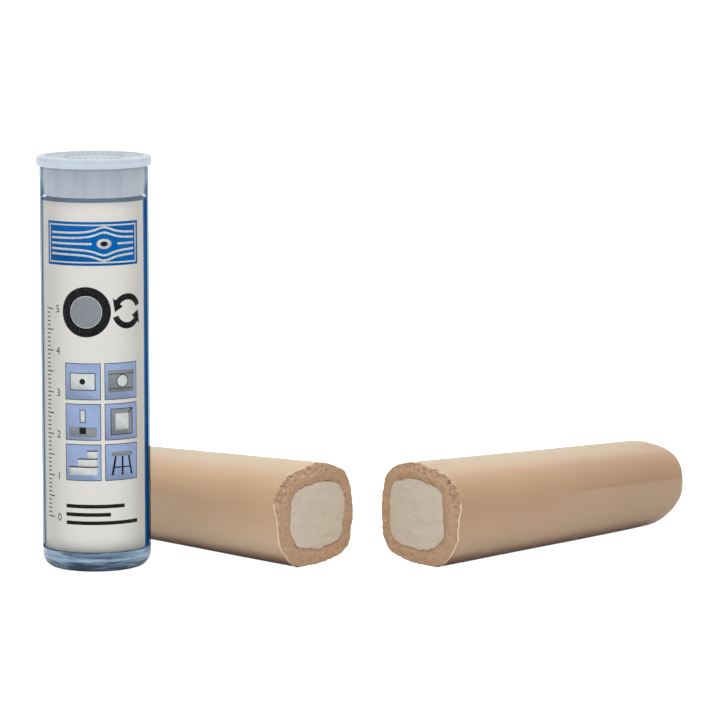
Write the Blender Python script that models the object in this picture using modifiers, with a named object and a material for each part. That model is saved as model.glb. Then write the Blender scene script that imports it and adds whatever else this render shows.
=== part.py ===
"""Two-part wood putty stick: a stick in its clear plug-capped tube and a stick cut in two beside it.

Run with: blender --background --python part.py
Lengths are in metres and +Z is up. The origin is on the tube's axis, on the table.
"""

from math import cos, pi, radians, sin, sqrt

import bmesh
import bpy
from mathutils import Vector

MM = 0.001

# Stick kept in the tube
STICK_DIAMETER = 22.0 * MM
STICK_LENGTH = 79.0 * MM
STICK_EDGE_RADIUS = 1.2 * MM
CORE_AREA_SHARE = 0.5

# Clear film round every stick
FILM_THICKNESS = 0.2 * MM
FILM_END_OPENING = 5.0 * MM

# Clear tube
TUBE_WALL = 0.6 * MM
TUBE_FLOOR = 4.8 * MM
TUBE_BASE_RADIUS = 3.2 * MM
TUBE_LIP_RADIUS = 0.25 * MM

# Rolled paper label inside the tube
LABEL_THICKNESS = 0.15 * MM
LABEL_TOP_GAP = 1.0 * MM
LABEL_LAP_ANGLE = radians(24.0)
LABEL_STEP_ANGLE = radians(20.0)

# Push-in plug cap
CAP_OVERHANG = 0.8 * MM
CAP_FLANGE_THICKNESS = 2.2 * MM
CAP_RIM_RADIUS = 0.9 * MM
CAP_RIM_WIDTH = 2.0 * MM
CAP_DISH_DEPTH = 0.5 * MM
CAP_DISH_SLOPE = 0.6 * MM
CAP_WEB = 1.3 * MM
CAP_SKIRT_DEPTH = 7.2 * MM
CAP_SKIRT_WALL = 1.2 * MM
CAP_SKIRT_TAPER = 0.4 * MM
CAP_NOSE_RADIUS = 0.5 * MM

# Cut pieces that lie beside the tube, measured over their film
CUT_WIDTH = 26.4 * MM
CUT_HEIGHT = 25.0 * MM
FAR_WIDTH = 23.4 * MM
FAR_HEIGHT = 21.8 * MM
PIECE_LENGTH = 84.0 * MM
PIECE_END_RADIUS = 2.6 * MM
REST_FLAT_DEPTH = 0.5 * MM
CORE_SHIFT = 0.9 * MM
SECTION_POWER = 2.6

# Where the cut pieces lie
TUBE_SIDE_GAP = 9.2 * MM
CUT_FACE_LEAD = 38.2 * MM
CUT_FACE_GAP = 6.8 * MM
LEFT_SWING = radians(46.5)
RIGHT_SWING = radians(45.8)

# Clearances
SEAT_GAP = 0.3 * MM
LAYER_GAP = 0.25 * MM
STICK_CLEARANCE = 0.35 * MM
LABEL_LAP_GAP = 0.2 * MM
LABEL_CLEARANCE = 0.1 * MM
PLUG_CLEARANCE = 0.25 * MM
HEADSPACE = 4.6 * MM

# Fineness of the round surfaces
TURN_STEPS = 56
STICK_STEPS = 40
LABEL_STEPS = 60
SECTION_POINTS = 40
ARC_STEPS = 4
BODY_STATIONS = 3
MERGE_DISTANCE = 0.00001

# Largest share of a wall that a fillet on one of its edges, or on its end, may take
FILLET_SHARE = 0.45
END_FILLET_SHARE = 0.8

# Sizes that follow from the ones above
stick_radius = STICK_DIAMETER / 2
core_scale = sqrt(CORE_AREA_SHARE)
film_depth = FILM_THICKNESS + LAYER_GAP
film_radius = stick_radius + film_depth
label_step = LABEL_THICKNESS + LABEL_LAP_GAP
label_radius = film_radius + STICK_CLEARANCE + label_step + LABEL_THICKNESS
bore_radius = label_radius + LABEL_CLEARANCE
tube_radius = bore_radius + TUBE_WALL
film_bottom = TUBE_FLOOR + SEAT_GAP
film_top = film_bottom + STICK_LENGTH + 2 * film_depth
skirt_bottom = film_top + HEADSPACE
flange_bottom = skirt_bottom + CAP_SKIRT_DEPTH
flange_top = flange_bottom + CAP_FLANGE_THICKNESS
tube_height = flange_bottom - SEAT_GAP
label_bottom = TUBE_FLOOR + SEAT_GAP
label_top = skirt_bottom - LABEL_TOP_GAP
flange_radius = tube_radius + CAP_OVERHANG
skirt_radius = bore_radius - PLUG_CLEARANCE
stick_wall = stick_radius * (1 - core_scale) - LAYER_GAP
stick_edge = min(STICK_EDGE_RADIUS, END_FILLET_SHARE * stick_wall)
piece_wall = (min(FAR_WIDTH, FAR_HEIGHT) / 2 - film_depth) * (1 - core_scale) - LAYER_GAP
piece_end = min(PIECE_END_RADIUS, film_depth + END_FILLET_SHARE * piece_wall)


def clear_scene():
    """Remove every object that the opened file holds."""
    for item in list(bpy.data.objects):
        bpy.data.objects.remove(item, do_unlink=True)


def material(name, colour, roughness, alpha=1.0):
    """Return a Principled material of one colour."""
    finish = bpy.data.materials.new(name)
    finish.use_nodes = True
    shader = finish.node_tree.nodes["Principled BSDF"]
    shader.inputs["Base Color"].default_value = (*colour, 1.0)
    shader.inputs["Roughness"].default_value = roughness
    shader.inputs["Metallic"].default_value = 0.0
    shader.inputs["Alpha"].default_value = alpha
    finish.diffuse_color = (*colour, alpha)
    return finish


def place(name, location, swing, collection):
    """Add an empty that carries the pieces of one body."""
    empty = bpy.data.objects.new(name, None)
    empty.empty_display_size = 5 * MM
    empty.location = location
    empty.rotation_euler = (0.0, 0.0, swing)
    collection.objects.link(empty)
    return empty


def add_object(name, mesh, finish, parent, collection):
    """Add one named piece with its finish, carried by its empty."""
    piece = bpy.data.objects.new(name, mesh)
    piece.data.materials.append(finish)
    piece.parent = parent
    collection.objects.link(piece)
    return piece


def arc(centre_r, centre_z, radius, start, end):
    """Return profile points along an arc, with its angles in degrees."""
    points = []
    for step in range(ARC_STEPS + 1):
        angle = radians(start + (end - start) * step / ARC_STEPS)
        points.append((centre_r + radius * cos(angle), centre_z + radius * sin(angle)))
    return points


def turned(name, profile, closed, steps, finish, parent, collection):
    """Turn a profile of (radius, height) points round the Z axis with a Screw modifier."""
    mesh = bpy.data.meshes.new(name)
    edges = [(index, index + 1) for index in range(len(profile) - 1)]
    if closed:
        edges.append((len(profile) - 1, 0))
    mesh.from_pydata([(radius, 0.0, height) for radius, height in profile], edges, [])
    piece = add_object(name, mesh, finish, parent, collection)
    screw = piece.modifiers.new("turn", "SCREW")
    screw.axis = "Z"
    screw.angle = 2 * pi
    screw.steps = steps
    screw.render_steps = steps
    screw.use_merge_vertices = True
    screw.merge_threshold = MERGE_DISTANCE
    screw.use_smooth_shade = True
    return piece


def tube_profile():
    """Return the tube's section, from the middle of its inner floor to the middle of its base."""
    lip = min(TUBE_LIP_RADIUS, FILLET_SHARE * TUBE_WALL)
    base = TUBE_BASE_RADIUS
    points = [(0.0, TUBE_FLOOR), (bore_radius, TUBE_FLOOR)]
    points += arc(bore_radius + lip, tube_height - lip, lip, 180, 90)
    points += arc(tube_radius - lip, tube_height - lip, lip, 90, 0)
    points += arc(tube_radius - base, base, base, 0, -90)
    points.append((0.0, 0.0))
    return points


def cap_profile():
    """Return the cap's section, from the middle of its top to the middle of its hollow's ceiling."""
    rim = min(CAP_RIM_RADIUS, FILLET_SHARE * CAP_FLANGE_THICKNESS)
    nose = min(CAP_NOSE_RADIUS, FILLET_SHARE * CAP_SKIRT_WALL)
    dish_radius = flange_radius - CAP_RIM_WIDTH
    dish_height = flange_top - CAP_DISH_DEPTH
    nose_radius = skirt_radius - CAP_SKIRT_TAPER
    ceiling = dish_height - CAP_WEB
    points = [(0.0, dish_height), (dish_radius - CAP_DISH_SLOPE, dish_height), (dish_radius, flange_top)]
    points += arc(flange_radius - rim, flange_top - rim, rim, 90, 0)
    points += arc(flange_radius - rim, flange_bottom + rim, rim, 0, -90)
    points.append((skirt_radius, flange_bottom))
    points += arc(nose_radius - nose, skirt_bottom + nose, nose, 0, -90)
    points.append((nose_radius - CAP_SKIRT_WALL, skirt_bottom))
    points.append((skirt_radius - CAP_SKIRT_WALL, ceiling))
    points.append((0.0, ceiling))
    return points


def stored_film_profile():
    """Return the closed section of the film round the stored stick, turned in over both its ends."""
    outer = stick_edge + film_depth
    inner = stick_edge + LAYER_GAP
    edge = film_radius - outer
    points = [(FILM_END_OPENING, film_top)]
    points += arc(edge, film_top - outer, outer, 90, 0)
    points += arc(edge, film_bottom + outer, outer, 0, -90)
    points.append((FILM_END_OPENING, film_bottom))
    points.append((FILM_END_OPENING, film_bottom + FILM_THICKNESS))
    points += arc(edge, film_bottom + outer, inner, -90, 0)
    points += arc(edge, film_top - outer, inner, 0, 90)
    points.append((FILM_END_OPENING, film_top - FILM_THICKNESS))
    return points


def stored_sheath_profile():
    """Return the closed section of the stored stick's outer resin layer."""
    low = film_bottom + film_depth
    high = film_top - film_depth
    edge = stick_radius - stick_edge
    hole = stick_radius * core_scale + LAYER_GAP
    points = [(hole, high)]
    points += arc(edge, high - stick_edge, stick_edge, 90, 0)
    points += arc(edge, low + stick_edge, stick_edge, 0, -90)
    points.append((hole, low))
    return points


def stored_core_profile():
    """Return the section of the stored stick's hardener core."""
    low = film_bottom + film_depth
    high = film_top - film_depth
    radius = stick_radius * core_scale
    return [(0.0, high), (radius, high), (radius, low), (0.0, low)]


def label_mesh(name):
    """Return the label's outer face: one turn of paper that steps inwards where its end tucks under."""
    turn = 2 * pi + LABEL_LAP_ANGLE
    start = pi / 2 - LABEL_LAP_ANGLE / 2
    sheet = bmesh.new()
    low_edge = []
    high_edge = []
    for index in range(LABEL_STEPS + 1):
        swept = turn * index / LABEL_STEPS
        step = (swept - 2 * pi + LABEL_STEP_ANGLE) / LABEL_STEP_ANGLE
        step = min(max(step, 0.0), 1.0)
        radius = label_radius - label_step * step * step * (3 - 2 * step)
        x = radius * cos(start + swept)
        y = radius * sin(start + swept)
        low_edge.append(sheet.verts.new((x, y, label_bottom)))
        high_edge.append(sheet.verts.new((x, y, label_top)))
    for index in range(LABEL_STEPS):
        corners = (low_edge[index], low_edge[index + 1], high_edge[index + 1], high_edge[index])
        sheet.faces.new(corners).smooth = True
    mesh = bpy.data.meshes.new(name)
    sheet.to_mesh(mesh)
    sheet.free()
    return mesh


def build_label(finish, parent, collection):
    """Build the rolled label with the paper's thickness on its inner side."""
    label = add_object("label_insert", label_mesh("label_insert"), finish, parent, collection)
    paper = label.modifiers.new("paper", "SOLIDIFY")
    paper.thickness = LABEL_THICKNESS
    paper.offset = -1.0
    paper.use_even_offset = True
    return label


def piece_half_sizes(along):
    """Return the half width and half height of a cut piece, over its film, at a distance from its cut."""
    share = along / PIECE_LENGTH
    width = CUT_WIDTH + (FAR_WIDTH - CUT_WIDTH) * share
    height = CUT_HEIGHT + (FAR_HEIGHT - CUT_HEIGHT) * share
    return width / 2, height / 2


def section_ring(along, half_width, half_height, lowest, aside=0.0):
    """Return one soft-cornered section of a cut piece, flattened where it rests and moved aside."""
    middle = piece_half_sizes(along)[1] - REST_FLAT_DEPTH
    power = 2 / SECTION_POWER
    ring = []
    for index in range(SECTION_POINTS):
        angle = 2 * pi * index / SECTION_POINTS
        across = half_width * abs(cos(angle)) ** power * (1 if cos(angle) > 0 else -1)
        up = half_height * abs(sin(angle)) ** power * (1 if sin(angle) > 0 else -1)
        ring.append(Vector((along, aside + across, max(middle + up, lowest))))
    return ring


def layer_rings(depth):
    """Return the rings of the surface that lies a depth inside a cut piece's film, cut end first."""
    radius = piece_end - depth
    straight = PIECE_LENGTH - piece_end
    rings = []
    for station in range(BODY_STATIONS):
        along = straight * station / BODY_STATIONS
        half_width, half_height = piece_half_sizes(along)
        rings.append(section_ring(along, half_width - depth, half_height - depth, depth))
    for run, rise in arc(straight, 0.0, radius, 90, 0):
        half_width, half_height = piece_half_sizes(run)
        inset = depth + radius - rise
        rings.append(section_ring(run, half_width - inset, half_height - inset, depth))
    return rings


def core_rings(growth, shift):
    """Return the end rings of a cut piece's core, grown by a gap and shifted off the middle at the cut."""
    end = PIECE_LENGTH - film_depth
    rings = []
    for along in (0.0, end):
        half_width, half_height = piece_half_sizes(along)
        width = (half_width - film_depth) * core_scale + growth
        height = (half_height - film_depth) * core_scale + growth
        aside = shift * (1 - along / PIECE_LENGTH)
        rings.append(section_ring(along, width, height, 0.0, aside))
    return rings


def opening_ring(along):
    """Return the round opening that the folded film leaves in the middle of a cut piece's far end."""
    middle = piece_half_sizes(along)[1] - REST_FLAT_DEPTH
    ring = []
    for index in range(SECTION_POINTS):
        angle = 2 * pi * index / SECTION_POINTS
        across = FILM_END_OPENING * cos(angle)
        ring.append(Vector((along, across, middle + FILM_END_OPENING * sin(angle))))
    return ring


def lofted(name, rings, looped, finish, parent, collection):
    """Skin a row of rings into one closed body: a loop of rings, or a row with both ends capped."""
    body = bmesh.new()
    rows = [[body.verts.new(point) for point in ring] for ring in rings]
    pairs = list(zip(rows[:-1], rows[1:]))
    if looped:
        pairs.append((rows[-1], rows[0]))
    else:
        body.faces.new(rows[0])
        body.faces.new(rows[-1])
    for near, far in pairs:
        for index in range(SECTION_POINTS):
            after = (index + 1) % SECTION_POINTS
            body.faces.new((near[index], near[after], far[after], far[index])).smooth = True
    bmesh.ops.recalc_face_normals(body, faces=body.faces)
    mesh = bpy.data.meshes.new(name)
    body.to_mesh(mesh)
    body.free()
    return add_object(name, mesh, finish, parent, collection)


def build_cut_piece(side, shift, finishes, parent, collection):
    """Build one cut piece as film, resin sheath and hardener core, with its cut face at the empty."""
    film_outer = layer_rings(0.0)
    film_outer.append(opening_ring(PIECE_LENGTH))
    film_inner = layer_rings(FILM_THICKNESS)
    film_inner.append(opening_ring(PIECE_LENGTH - FILM_THICKNESS))
    film_rings = film_outer + film_inner[::-1]
    lofted(f"{side}_film_wrap", film_rings, True, finishes["film"], parent, collection)
    sheath_rings = layer_rings(film_depth) + core_rings(LAYER_GAP, shift)[::-1]
    lofted(f"{side}_resin_sheath", sheath_rings, True, finishes["resin"], parent, collection)
    core = core_rings(0.0, shift)
    lofted(f"{side}_hardener_core", core, False, finishes["hardener"], parent, collection)


def left_cut_centre():
    """Return where the left piece's cut face stands, clear of the tube that it passes behind."""
    along = Vector((-sin(LEFT_SWING), cos(LEFT_SWING), 0.0))
    aside = Vector((cos(LEFT_SWING), sin(LEFT_SWING), 0.0))
    reach = flange_radius + TUBE_SIDE_GAP + CUT_WIDTH / 2
    return aside * reach - along * CUT_FACE_LEAD


def right_cut_centre():
    """Return where the right piece's cut face stands, across a gap from the left one's."""
    half_widths = (cos(LEFT_SWING) + cos(RIGHT_SWING)) * CUT_WIDTH / 2
    return left_cut_centre() + Vector((half_widths + CUT_FACE_GAP, 0.0, 0.0))


def main():
    """Build every piece of the set."""
    clear_scene()
    collection = bpy.data.collections.new("putty_stick_set")
    bpy.context.scene.collection.children.link(collection)
    finishes = {
        "tube": material("clear_tube_plastic", (0.80, 0.87, 0.93), 0.08, 0.30),
        "cap": material("frosted_cap_plastic", (0.72, 0.78, 0.85), 0.40, 0.85),
        "label": material("label_paper", (0.86, 0.86, 0.83), 0.55),
        "film": material("clear_film", (0.90, 0.88, 0.84), 0.12, 0.25),
        "resin": material("tan_resin", (0.62, 0.43, 0.29), 0.70),
        "hardener": material("cream_hardener", (0.74, 0.65, 0.52), 0.65),
    }
    upright = place("tube_axis", (0.0, 0.0, 0.0), 0.0, collection)
    cap_axis = place("cap_axis", (0.0, 0.0, 0.0), 0.0, collection)
    stick_axis = place("stored_stick_axis", (0.0, 0.0, 0.0), 0.0, collection)
    left_place = place("left_piece_place", left_cut_centre(), pi / 2 + LEFT_SWING, collection)
    right_place = place("right_piece_place", right_cut_centre(), pi / 2 - RIGHT_SWING, collection)

    turned("clear_tube", tube_profile(), False, TURN_STEPS, finishes["tube"], upright, collection)
    build_label(finishes["label"], upright, collection)
    turned("plug_cap", cap_profile(), False, TURN_STEPS, finishes["cap"], cap_axis, collection)

    stored = (stick_axis, collection)
    turned("stored_film_wrap", stored_film_profile(), True, STICK_STEPS, finishes["film"], *stored)
    turned("stored_resin_sheath", stored_sheath_profile(), True, STICK_STEPS, finishes["resin"], *stored)
    turned("stored_hardener_core", stored_core_profile(), False, STICK_STEPS, finishes["hardener"], *stored)

    build_cut_piece("left", -CORE_SHIFT, finishes, left_place, collection)
    build_cut_piece("right", CORE_SHIFT, finishes, right_place, collection)


main()
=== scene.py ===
"""Looks of a two-part wood putty stick set: a stick in its capped clear tube and a stick cut in two.

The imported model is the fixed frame, and each class builds and dresses one sub-assembly on it.
Lengths are in metres, +Z is up, and the camera looks along +Y.
"""

import logging
from dataclasses import dataclass, field, replace
from enum import Enum
from math import cos, pi, radians, sin, tau
from typing import Any, Sequence

import bmesh
import bpy
import numpy as np
from mathutils import Matrix, Vector, noise


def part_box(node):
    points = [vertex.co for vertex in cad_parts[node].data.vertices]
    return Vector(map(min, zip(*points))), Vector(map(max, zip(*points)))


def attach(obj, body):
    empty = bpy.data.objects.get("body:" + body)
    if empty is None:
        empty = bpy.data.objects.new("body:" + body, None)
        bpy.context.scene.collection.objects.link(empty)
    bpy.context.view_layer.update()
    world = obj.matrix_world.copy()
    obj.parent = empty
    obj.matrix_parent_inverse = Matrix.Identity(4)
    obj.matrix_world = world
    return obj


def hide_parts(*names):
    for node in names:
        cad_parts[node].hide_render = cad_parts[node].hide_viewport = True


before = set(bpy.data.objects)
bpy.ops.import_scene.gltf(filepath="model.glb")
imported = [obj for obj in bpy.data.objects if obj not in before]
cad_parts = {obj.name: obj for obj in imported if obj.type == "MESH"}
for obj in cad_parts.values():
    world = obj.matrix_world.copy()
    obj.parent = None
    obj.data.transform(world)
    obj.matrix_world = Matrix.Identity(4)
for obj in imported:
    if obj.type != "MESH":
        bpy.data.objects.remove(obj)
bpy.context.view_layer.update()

MM = 0.001
MERGE_DISTANCE = 1e-8
SEED_STEP = np.array([17.3, 5.9, 11.7])
ACROSS = np.array([0.0, 1.0, 1.0])
LOG = logging.getLogger("putty_set")

Colour = tuple[float, float, float, float]
Point2 = tuple[float, float]
Size3 = tuple[float, float, float]
Sector = tuple[float, float, float, float]
Rows = np.ndarray
Mesh = bpy.types.Mesh
Node = bpy.types.Node
Piece = bpy.types.Object
Socket = bpy.types.NodeSocket


class Level(Enum):
    """How brightly the studio lights a face, by the way that it faces."""

    UPRIGHT = 0.87
    UPWARD = 1.6


def surface_colour(red: int, green: int, blue: int, level: Level = Level.UPRIGHT) -> Colour:
    """Return the surface colour that looks like a screen colour under the studio's light.

    Args:
        red: Red as it looks, from 0 to 255.
        green: Green as it looks.
        blue: Blue as it looks.
        level: The light on the face that it was seen on.

    Returns:
        The colour in linear light, with an alpha of 1.
    """
    shares = [part / 255 for part in (red, green, blue)]
    light = [s / 12.92 if s <= 0.04045 else ((s + 0.055) / 1.055) ** 2.4 for s in shares]
    return (*[part / level.value for part in light], 1.0)


def smooth_step(low: float, high: float, value: Rows) -> Rows:
    """Return 0 below low and 1 above high, with a smooth rise between them."""
    share = np.clip((value - low) / (high - low), 0.0, 1.0)
    return share * share * (3 - 2 * share)


def sector(turn: Rows, span: Sector) -> Rows:
    """Return 1 between the middle two of four angles in degrees, and 0 beyond the outer two."""
    start, full, fading, end = (radians(angle) for angle in span)
    return smooth_step(start, full, turn) * (1 - smooth_step(fading, end, turn))


def wrapped(turn: Rows) -> Rows:
    """Return angles brought to within half a turn of zero."""
    return np.angle(np.exp(1j * turn))


def stacked(*axes: Rows | float) -> Rows:
    """Return points from their three axes, each spread to the shape of the largest."""
    return np.stack(np.broadcast_arrays(*axes), axis=-1)


def cloud(points: Rows, grain: float, seed: float, octaves: int = 3) -> Rows:
    """Sample smooth noise at points.

    Args:
        points: Points in metres, with three numbers in the last axis.
        grain: Size of the noise's largest features, in metres.
        seed: Moves the sample to another part of the noise.
        octaves: Number of finer layers.

    Returns:
        Values of about -1 to 1, one for each point.
    """
    flat = points.reshape(-1, 3) / grain + seed * SEED_STEP
    values = [noise.fractal(Vector(point), 1.0, 2.0, octaves) for point in flat]
    return np.array(values).reshape(points.shape[:-1])


def arc(centre: Point2, radius: float, start: float, end: float, steps: int = 8) -> list[Point2]:
    """Return profile points along an arc, with its angles in degrees."""
    angles = [radians(start + (end - start) * step / steps) for step in range(steps + 1)]
    return [(centre[0] + radius * cos(a), centre[1] + radius * sin(a)) for a in angles]


def add_mesh(name: str, mesh: Mesh) -> Piece:
    """Add a mesh to the scene as a new object at the origin.

    Args:
        name: Name of the new object.
        mesh: Its mesh.

    Returns:
        The new object.
    """
    piece = bpy.data.objects.new(name, mesh)
    bpy.context.scene.collection.objects.link(piece)
    return piece


def shifted(mesh: Mesh, offset: Sequence[float]) -> Mesh:
    """Move a mesh's points and return it."""
    mesh.transform(Matrix.Translation(offset))
    return mesh


def settle(body: bmesh.types.BMesh, mesh: Mesh) -> None:
    """Write an edited body to its mesh, with smooth faces.

    Args:
        body: The edited body, which is freed.
        mesh: The mesh that takes it.
    """
    body.to_mesh(mesh)
    body.free()
    mesh.shade_smooth()


def thicken(piece: Piece, thickness: float, back: int = 0) -> Piece:
    """Give a sheet a thickness inwards, and its back and edges a later material slot if one is asked for.

    Args:
        piece: The sheet.
        thickness: How thick it gets.
        back: How many slots later that material is.

    Returns:
        The same piece.
    """
    solid = piece.modifiers.new("thickness", "SOLIDIFY")
    solid.thickness = thickness
    solid.offset = -1.0
    solid.material_offset = solid.material_offset_rim = back
    return piece


def skinned(
    name: str,
    rows: Rows,
    looped: bool = False,
    marks: dict[str, Rows] | None = None,
    crease: float = 50.0,
) -> Piece:
    """Skin rows of points into one smooth closed body.

    Args:
        name: Name of the new object.
        rows: Points as (row, point, axis), where every row is a closed ring.
        looped: Joins the last row to the first one.
        marks: Values for every point, kept as named attributes for the finish.
        crease: Angle in degrees from which an edge stays sharp.

    Returns:
        The new object.
    """
    index = np.arange(rows[..., 0].size).reshape(rows.shape[:2])
    near, far = (index, np.roll(index, -1, axis=0)) if looped else (index[:-1], index[1:])
    quads = np.stack([near, np.roll(near, -1, axis=1), np.roll(far, -1, axis=1), far], axis=-1)
    mesh = bpy.data.meshes.new(name)
    mesh.from_pydata(rows.reshape(-1, 3).tolist(), [], quads.reshape(-1, 4).tolist())
    for mark, values in (marks or {}).items():
        layer = mesh.attributes.new(mark, "FLOAT", "POINT")
        layer.data.foreach_set("value", values.astype(np.float32).ravel())
    body = bmesh.new()
    body.from_mesh(mesh)
    bmesh.ops.remove_doubles(body, verts=body.verts, dist=MERGE_DISTANCE)
    bmesh.ops.dissolve_degenerate(body, edges=body.edges, dist=MERGE_DISTANCE)
    bmesh.ops.recalc_face_normals(body, faces=body.faces)
    settle(body, mesh)
    mesh.set_sharp_from_angle(angle=radians(crease))
    return add_mesh(name, mesh)


def turned(name: str, profile: Sequence[Point2], segments: int) -> Piece:
    """Turn (radius, height) points round the Z axis into a closed body.

    Args:
        name: Name of the new object.
        profile: Points of the section, in order.
        segments: Number of steps round the axis.

    Returns:
        The new object.
    """
    angle = np.linspace(0.0, tau, segments, endpoint=False)
    radius, height = np.array(profile).T[..., None]
    return skinned(name, stacked(radius * np.cos(angle), radius * np.sin(angle), height), crease=60.0)


class Wiring:
    """Adds and joins the nodes of one node tree."""

    def __init__(self, tree: bpy.types.NodeTree) -> None:
        """Keep the tree that the nodes go into."""
        self.tree = tree

    def feed(self, node: Node, inputs: dict[str | int, Any]) -> None:
        """Link outputs to a node's inputs, or set the inputs' own values, by their names or numbers.

        Args:
            node: The node.
            inputs: Values or output sockets, by the input's name or number.
        """
        for name, value in inputs.items():
            if isinstance(value, Socket):
                self.tree.links.new(value, node.inputs[name])
            else:
                node.inputs[name].default_value = value

    def node(self, kind: str, inputs: dict[str | int, Any] | None = None, **settings: Any) -> Node:
        """Add a node.

        Args:
            kind: Blender's name for the kind of node.
            inputs: Values or output sockets, by the input's name or number.
            settings: Properties of the node.

        Returns:
            The new node.
        """
        made = self.tree.nodes.new(kind)
        for name, value in settings.items():
            setattr(made, name, value)
        self.feed(made, inputs or {})
        return made

    def math(self, operation: str, first: Any, second: Any = 0.5, clamp: bool = False) -> Socket:
        """Add a Math node and return its output."""
        made = self.node("ShaderNodeMath", {0: first, 1: second}, operation=operation, use_clamp=clamp)
        return made.outputs[0]

    def times(self, first: Any, second: Any) -> Socket:
        """Return the product of two values."""
        return self.math("MULTIPLY", first, second)

    def span(self, value: Any, low: float, high: float, to_low: Any = 0.0, to_high: Any = 1.0) -> Socket:
        """Map a span of values smoothly to another span and return the output."""
        inputs = {"Value": value, "From Min": low, "From Max": high, "To Min": to_low, "To Max": to_high}
        return self.node("ShaderNodeMapRange", inputs, interpolation_type="SMOOTHSTEP").outputs["Result"]

    def between(self, share: Any, low: float, high: float) -> Socket:
        """Return a value between two others, by a share."""
        return self.span(share, 0.0, 1.0, low, high)

    def tint(self, share: Any, low: Any, high: Any, most: float = 1.0) -> Socket:
        """Mix two colours by a share, which counts up to a most, and return the result.

        Args:
            share: Share of the second colour.
            low: The first colour.
            high: The second colour.
            most: What a full share counts for.

        Returns:
            The mixed colour.
        """
        if most < 1.0:
            share = self.times(share, most)
        return self.node("ShaderNodeMix", {0: share, 6: low, 7: high}, data_type="RGBA").outputs[2]

    def noise(self, vector: Any, scale: Any, detail: float = 4.0) -> Socket:
        """Add a noise texture and return its value."""
        inputs = {"Vector": vector, "Scale": scale, "Detail": detail, "Roughness": 0.55}
        return self.node("ShaderNodeTexNoise", inputs).outputs["Fac"]

    def axes(self, vector: Socket) -> bpy.types.NodeOutputs:
        """Return the X, Y and Z of a vector."""
        return self.node("ShaderNodeSeparateXYZ", {"Vector": vector}).outputs

    def bump(self, height: Any, distance: float, strength: float) -> Socket:
        """Turn a height into a normal and return it."""
        inputs = {"Height": height, "Distance": distance, "Strength": strength}
        return self.node("ShaderNodeBump", inputs).outputs["Normal"]


class SharedEffect(Enum):
    """Effects that several finishes share, each as one shader node group."""

    MOTTLE = "soft_mottle"
    SPECKLE = "grain_speckle"
    STROKES = "fine_strokes"

    def tree(self) -> bpy.types.NodeTree:
        """Return the effect's node group, built the first time that it is asked for.

        Returns:
            The node group.
        """
        kept = bpy.data.node_groups.get(self.value)
        if kept is not None:
            return kept
        tree = bpy.data.node_groups.new(self.value, "ShaderNodeTree")
        sockets = {"Vector": "NodeSocketVector", "Scale": "NodeSocketFloat", "Amount": "NodeSocketFloat"}
        for name, kind in sockets.items():
            tree.interface.new_socket(name, in_out="INPUT", socket_type=kind)
        tree.interface.new_socket("Mask", in_out="OUTPUT", socket_type="NodeSocketFloat")
        wires = Wiring(tree)
        entry = wires.node("NodeGroupInput").outputs
        makers = {MOTTLE: self.mottle, SPECKLE: self.speckle, STROKES: self.strokes}
        mask = makers[self](wires, *[entry[name] for name in sockets])
        wires.node("NodeGroupOutput", {"Mask": mask})
        return tree

    @staticmethod
    def mottle(wires: Wiring, vector: Any, scale: Any, amount: Any) -> Socket:
        """Return a soft cloudy mask round a half, whose amount is its contrast."""
        value = wires.math("SUBTRACT", wires.noise(vector, scale), 0.5)
        return wires.math("ADD", wires.times(value, amount), 0.5, clamp=True)

    @staticmethod
    def speckle(wires: Wiring, vector: Any, scale: Any, amount: Any) -> Socket:
        """Return round grains over the surface, whose amount is the share of cells that hold one.

        Args:
            wires: Wiring of the effect's group.
            vector: Place on the surface.
            scale: Cells to the metre.
            amount: Share of cells that hold a grain.

        Returns:
            The effect's mask.
        """
        cells = wires.node("ShaderNodeTexVoronoi", {"Vector": vector, "Scale": scale}).outputs
        chance = wires.node("ShaderNodeSeparateColor", {"Color": cells["Color"]}).outputs[0]
        chosen = wires.math("LESS_THAN", chance, amount)
        return wires.times(chosen, wires.span(cells["Distance"], 0.15, 0.5, 1.0, 0.0))

    @staticmethod
    def strokes(wires: Wiring, vector: Any, scale: Any, amount: Any) -> Socket:
        """Return thin winding lines, whose amount is their width."""
        offset = wires.math("ABSOLUTE", wires.math("SUBTRACT", wires.noise(vector, scale, 2.0), 0.5))
        return wires.between(wires.math("DIVIDE", offset, amount), 1.0, 0.0)


MOTTLE, SPECKLE, STROKES = SharedEffect


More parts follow.
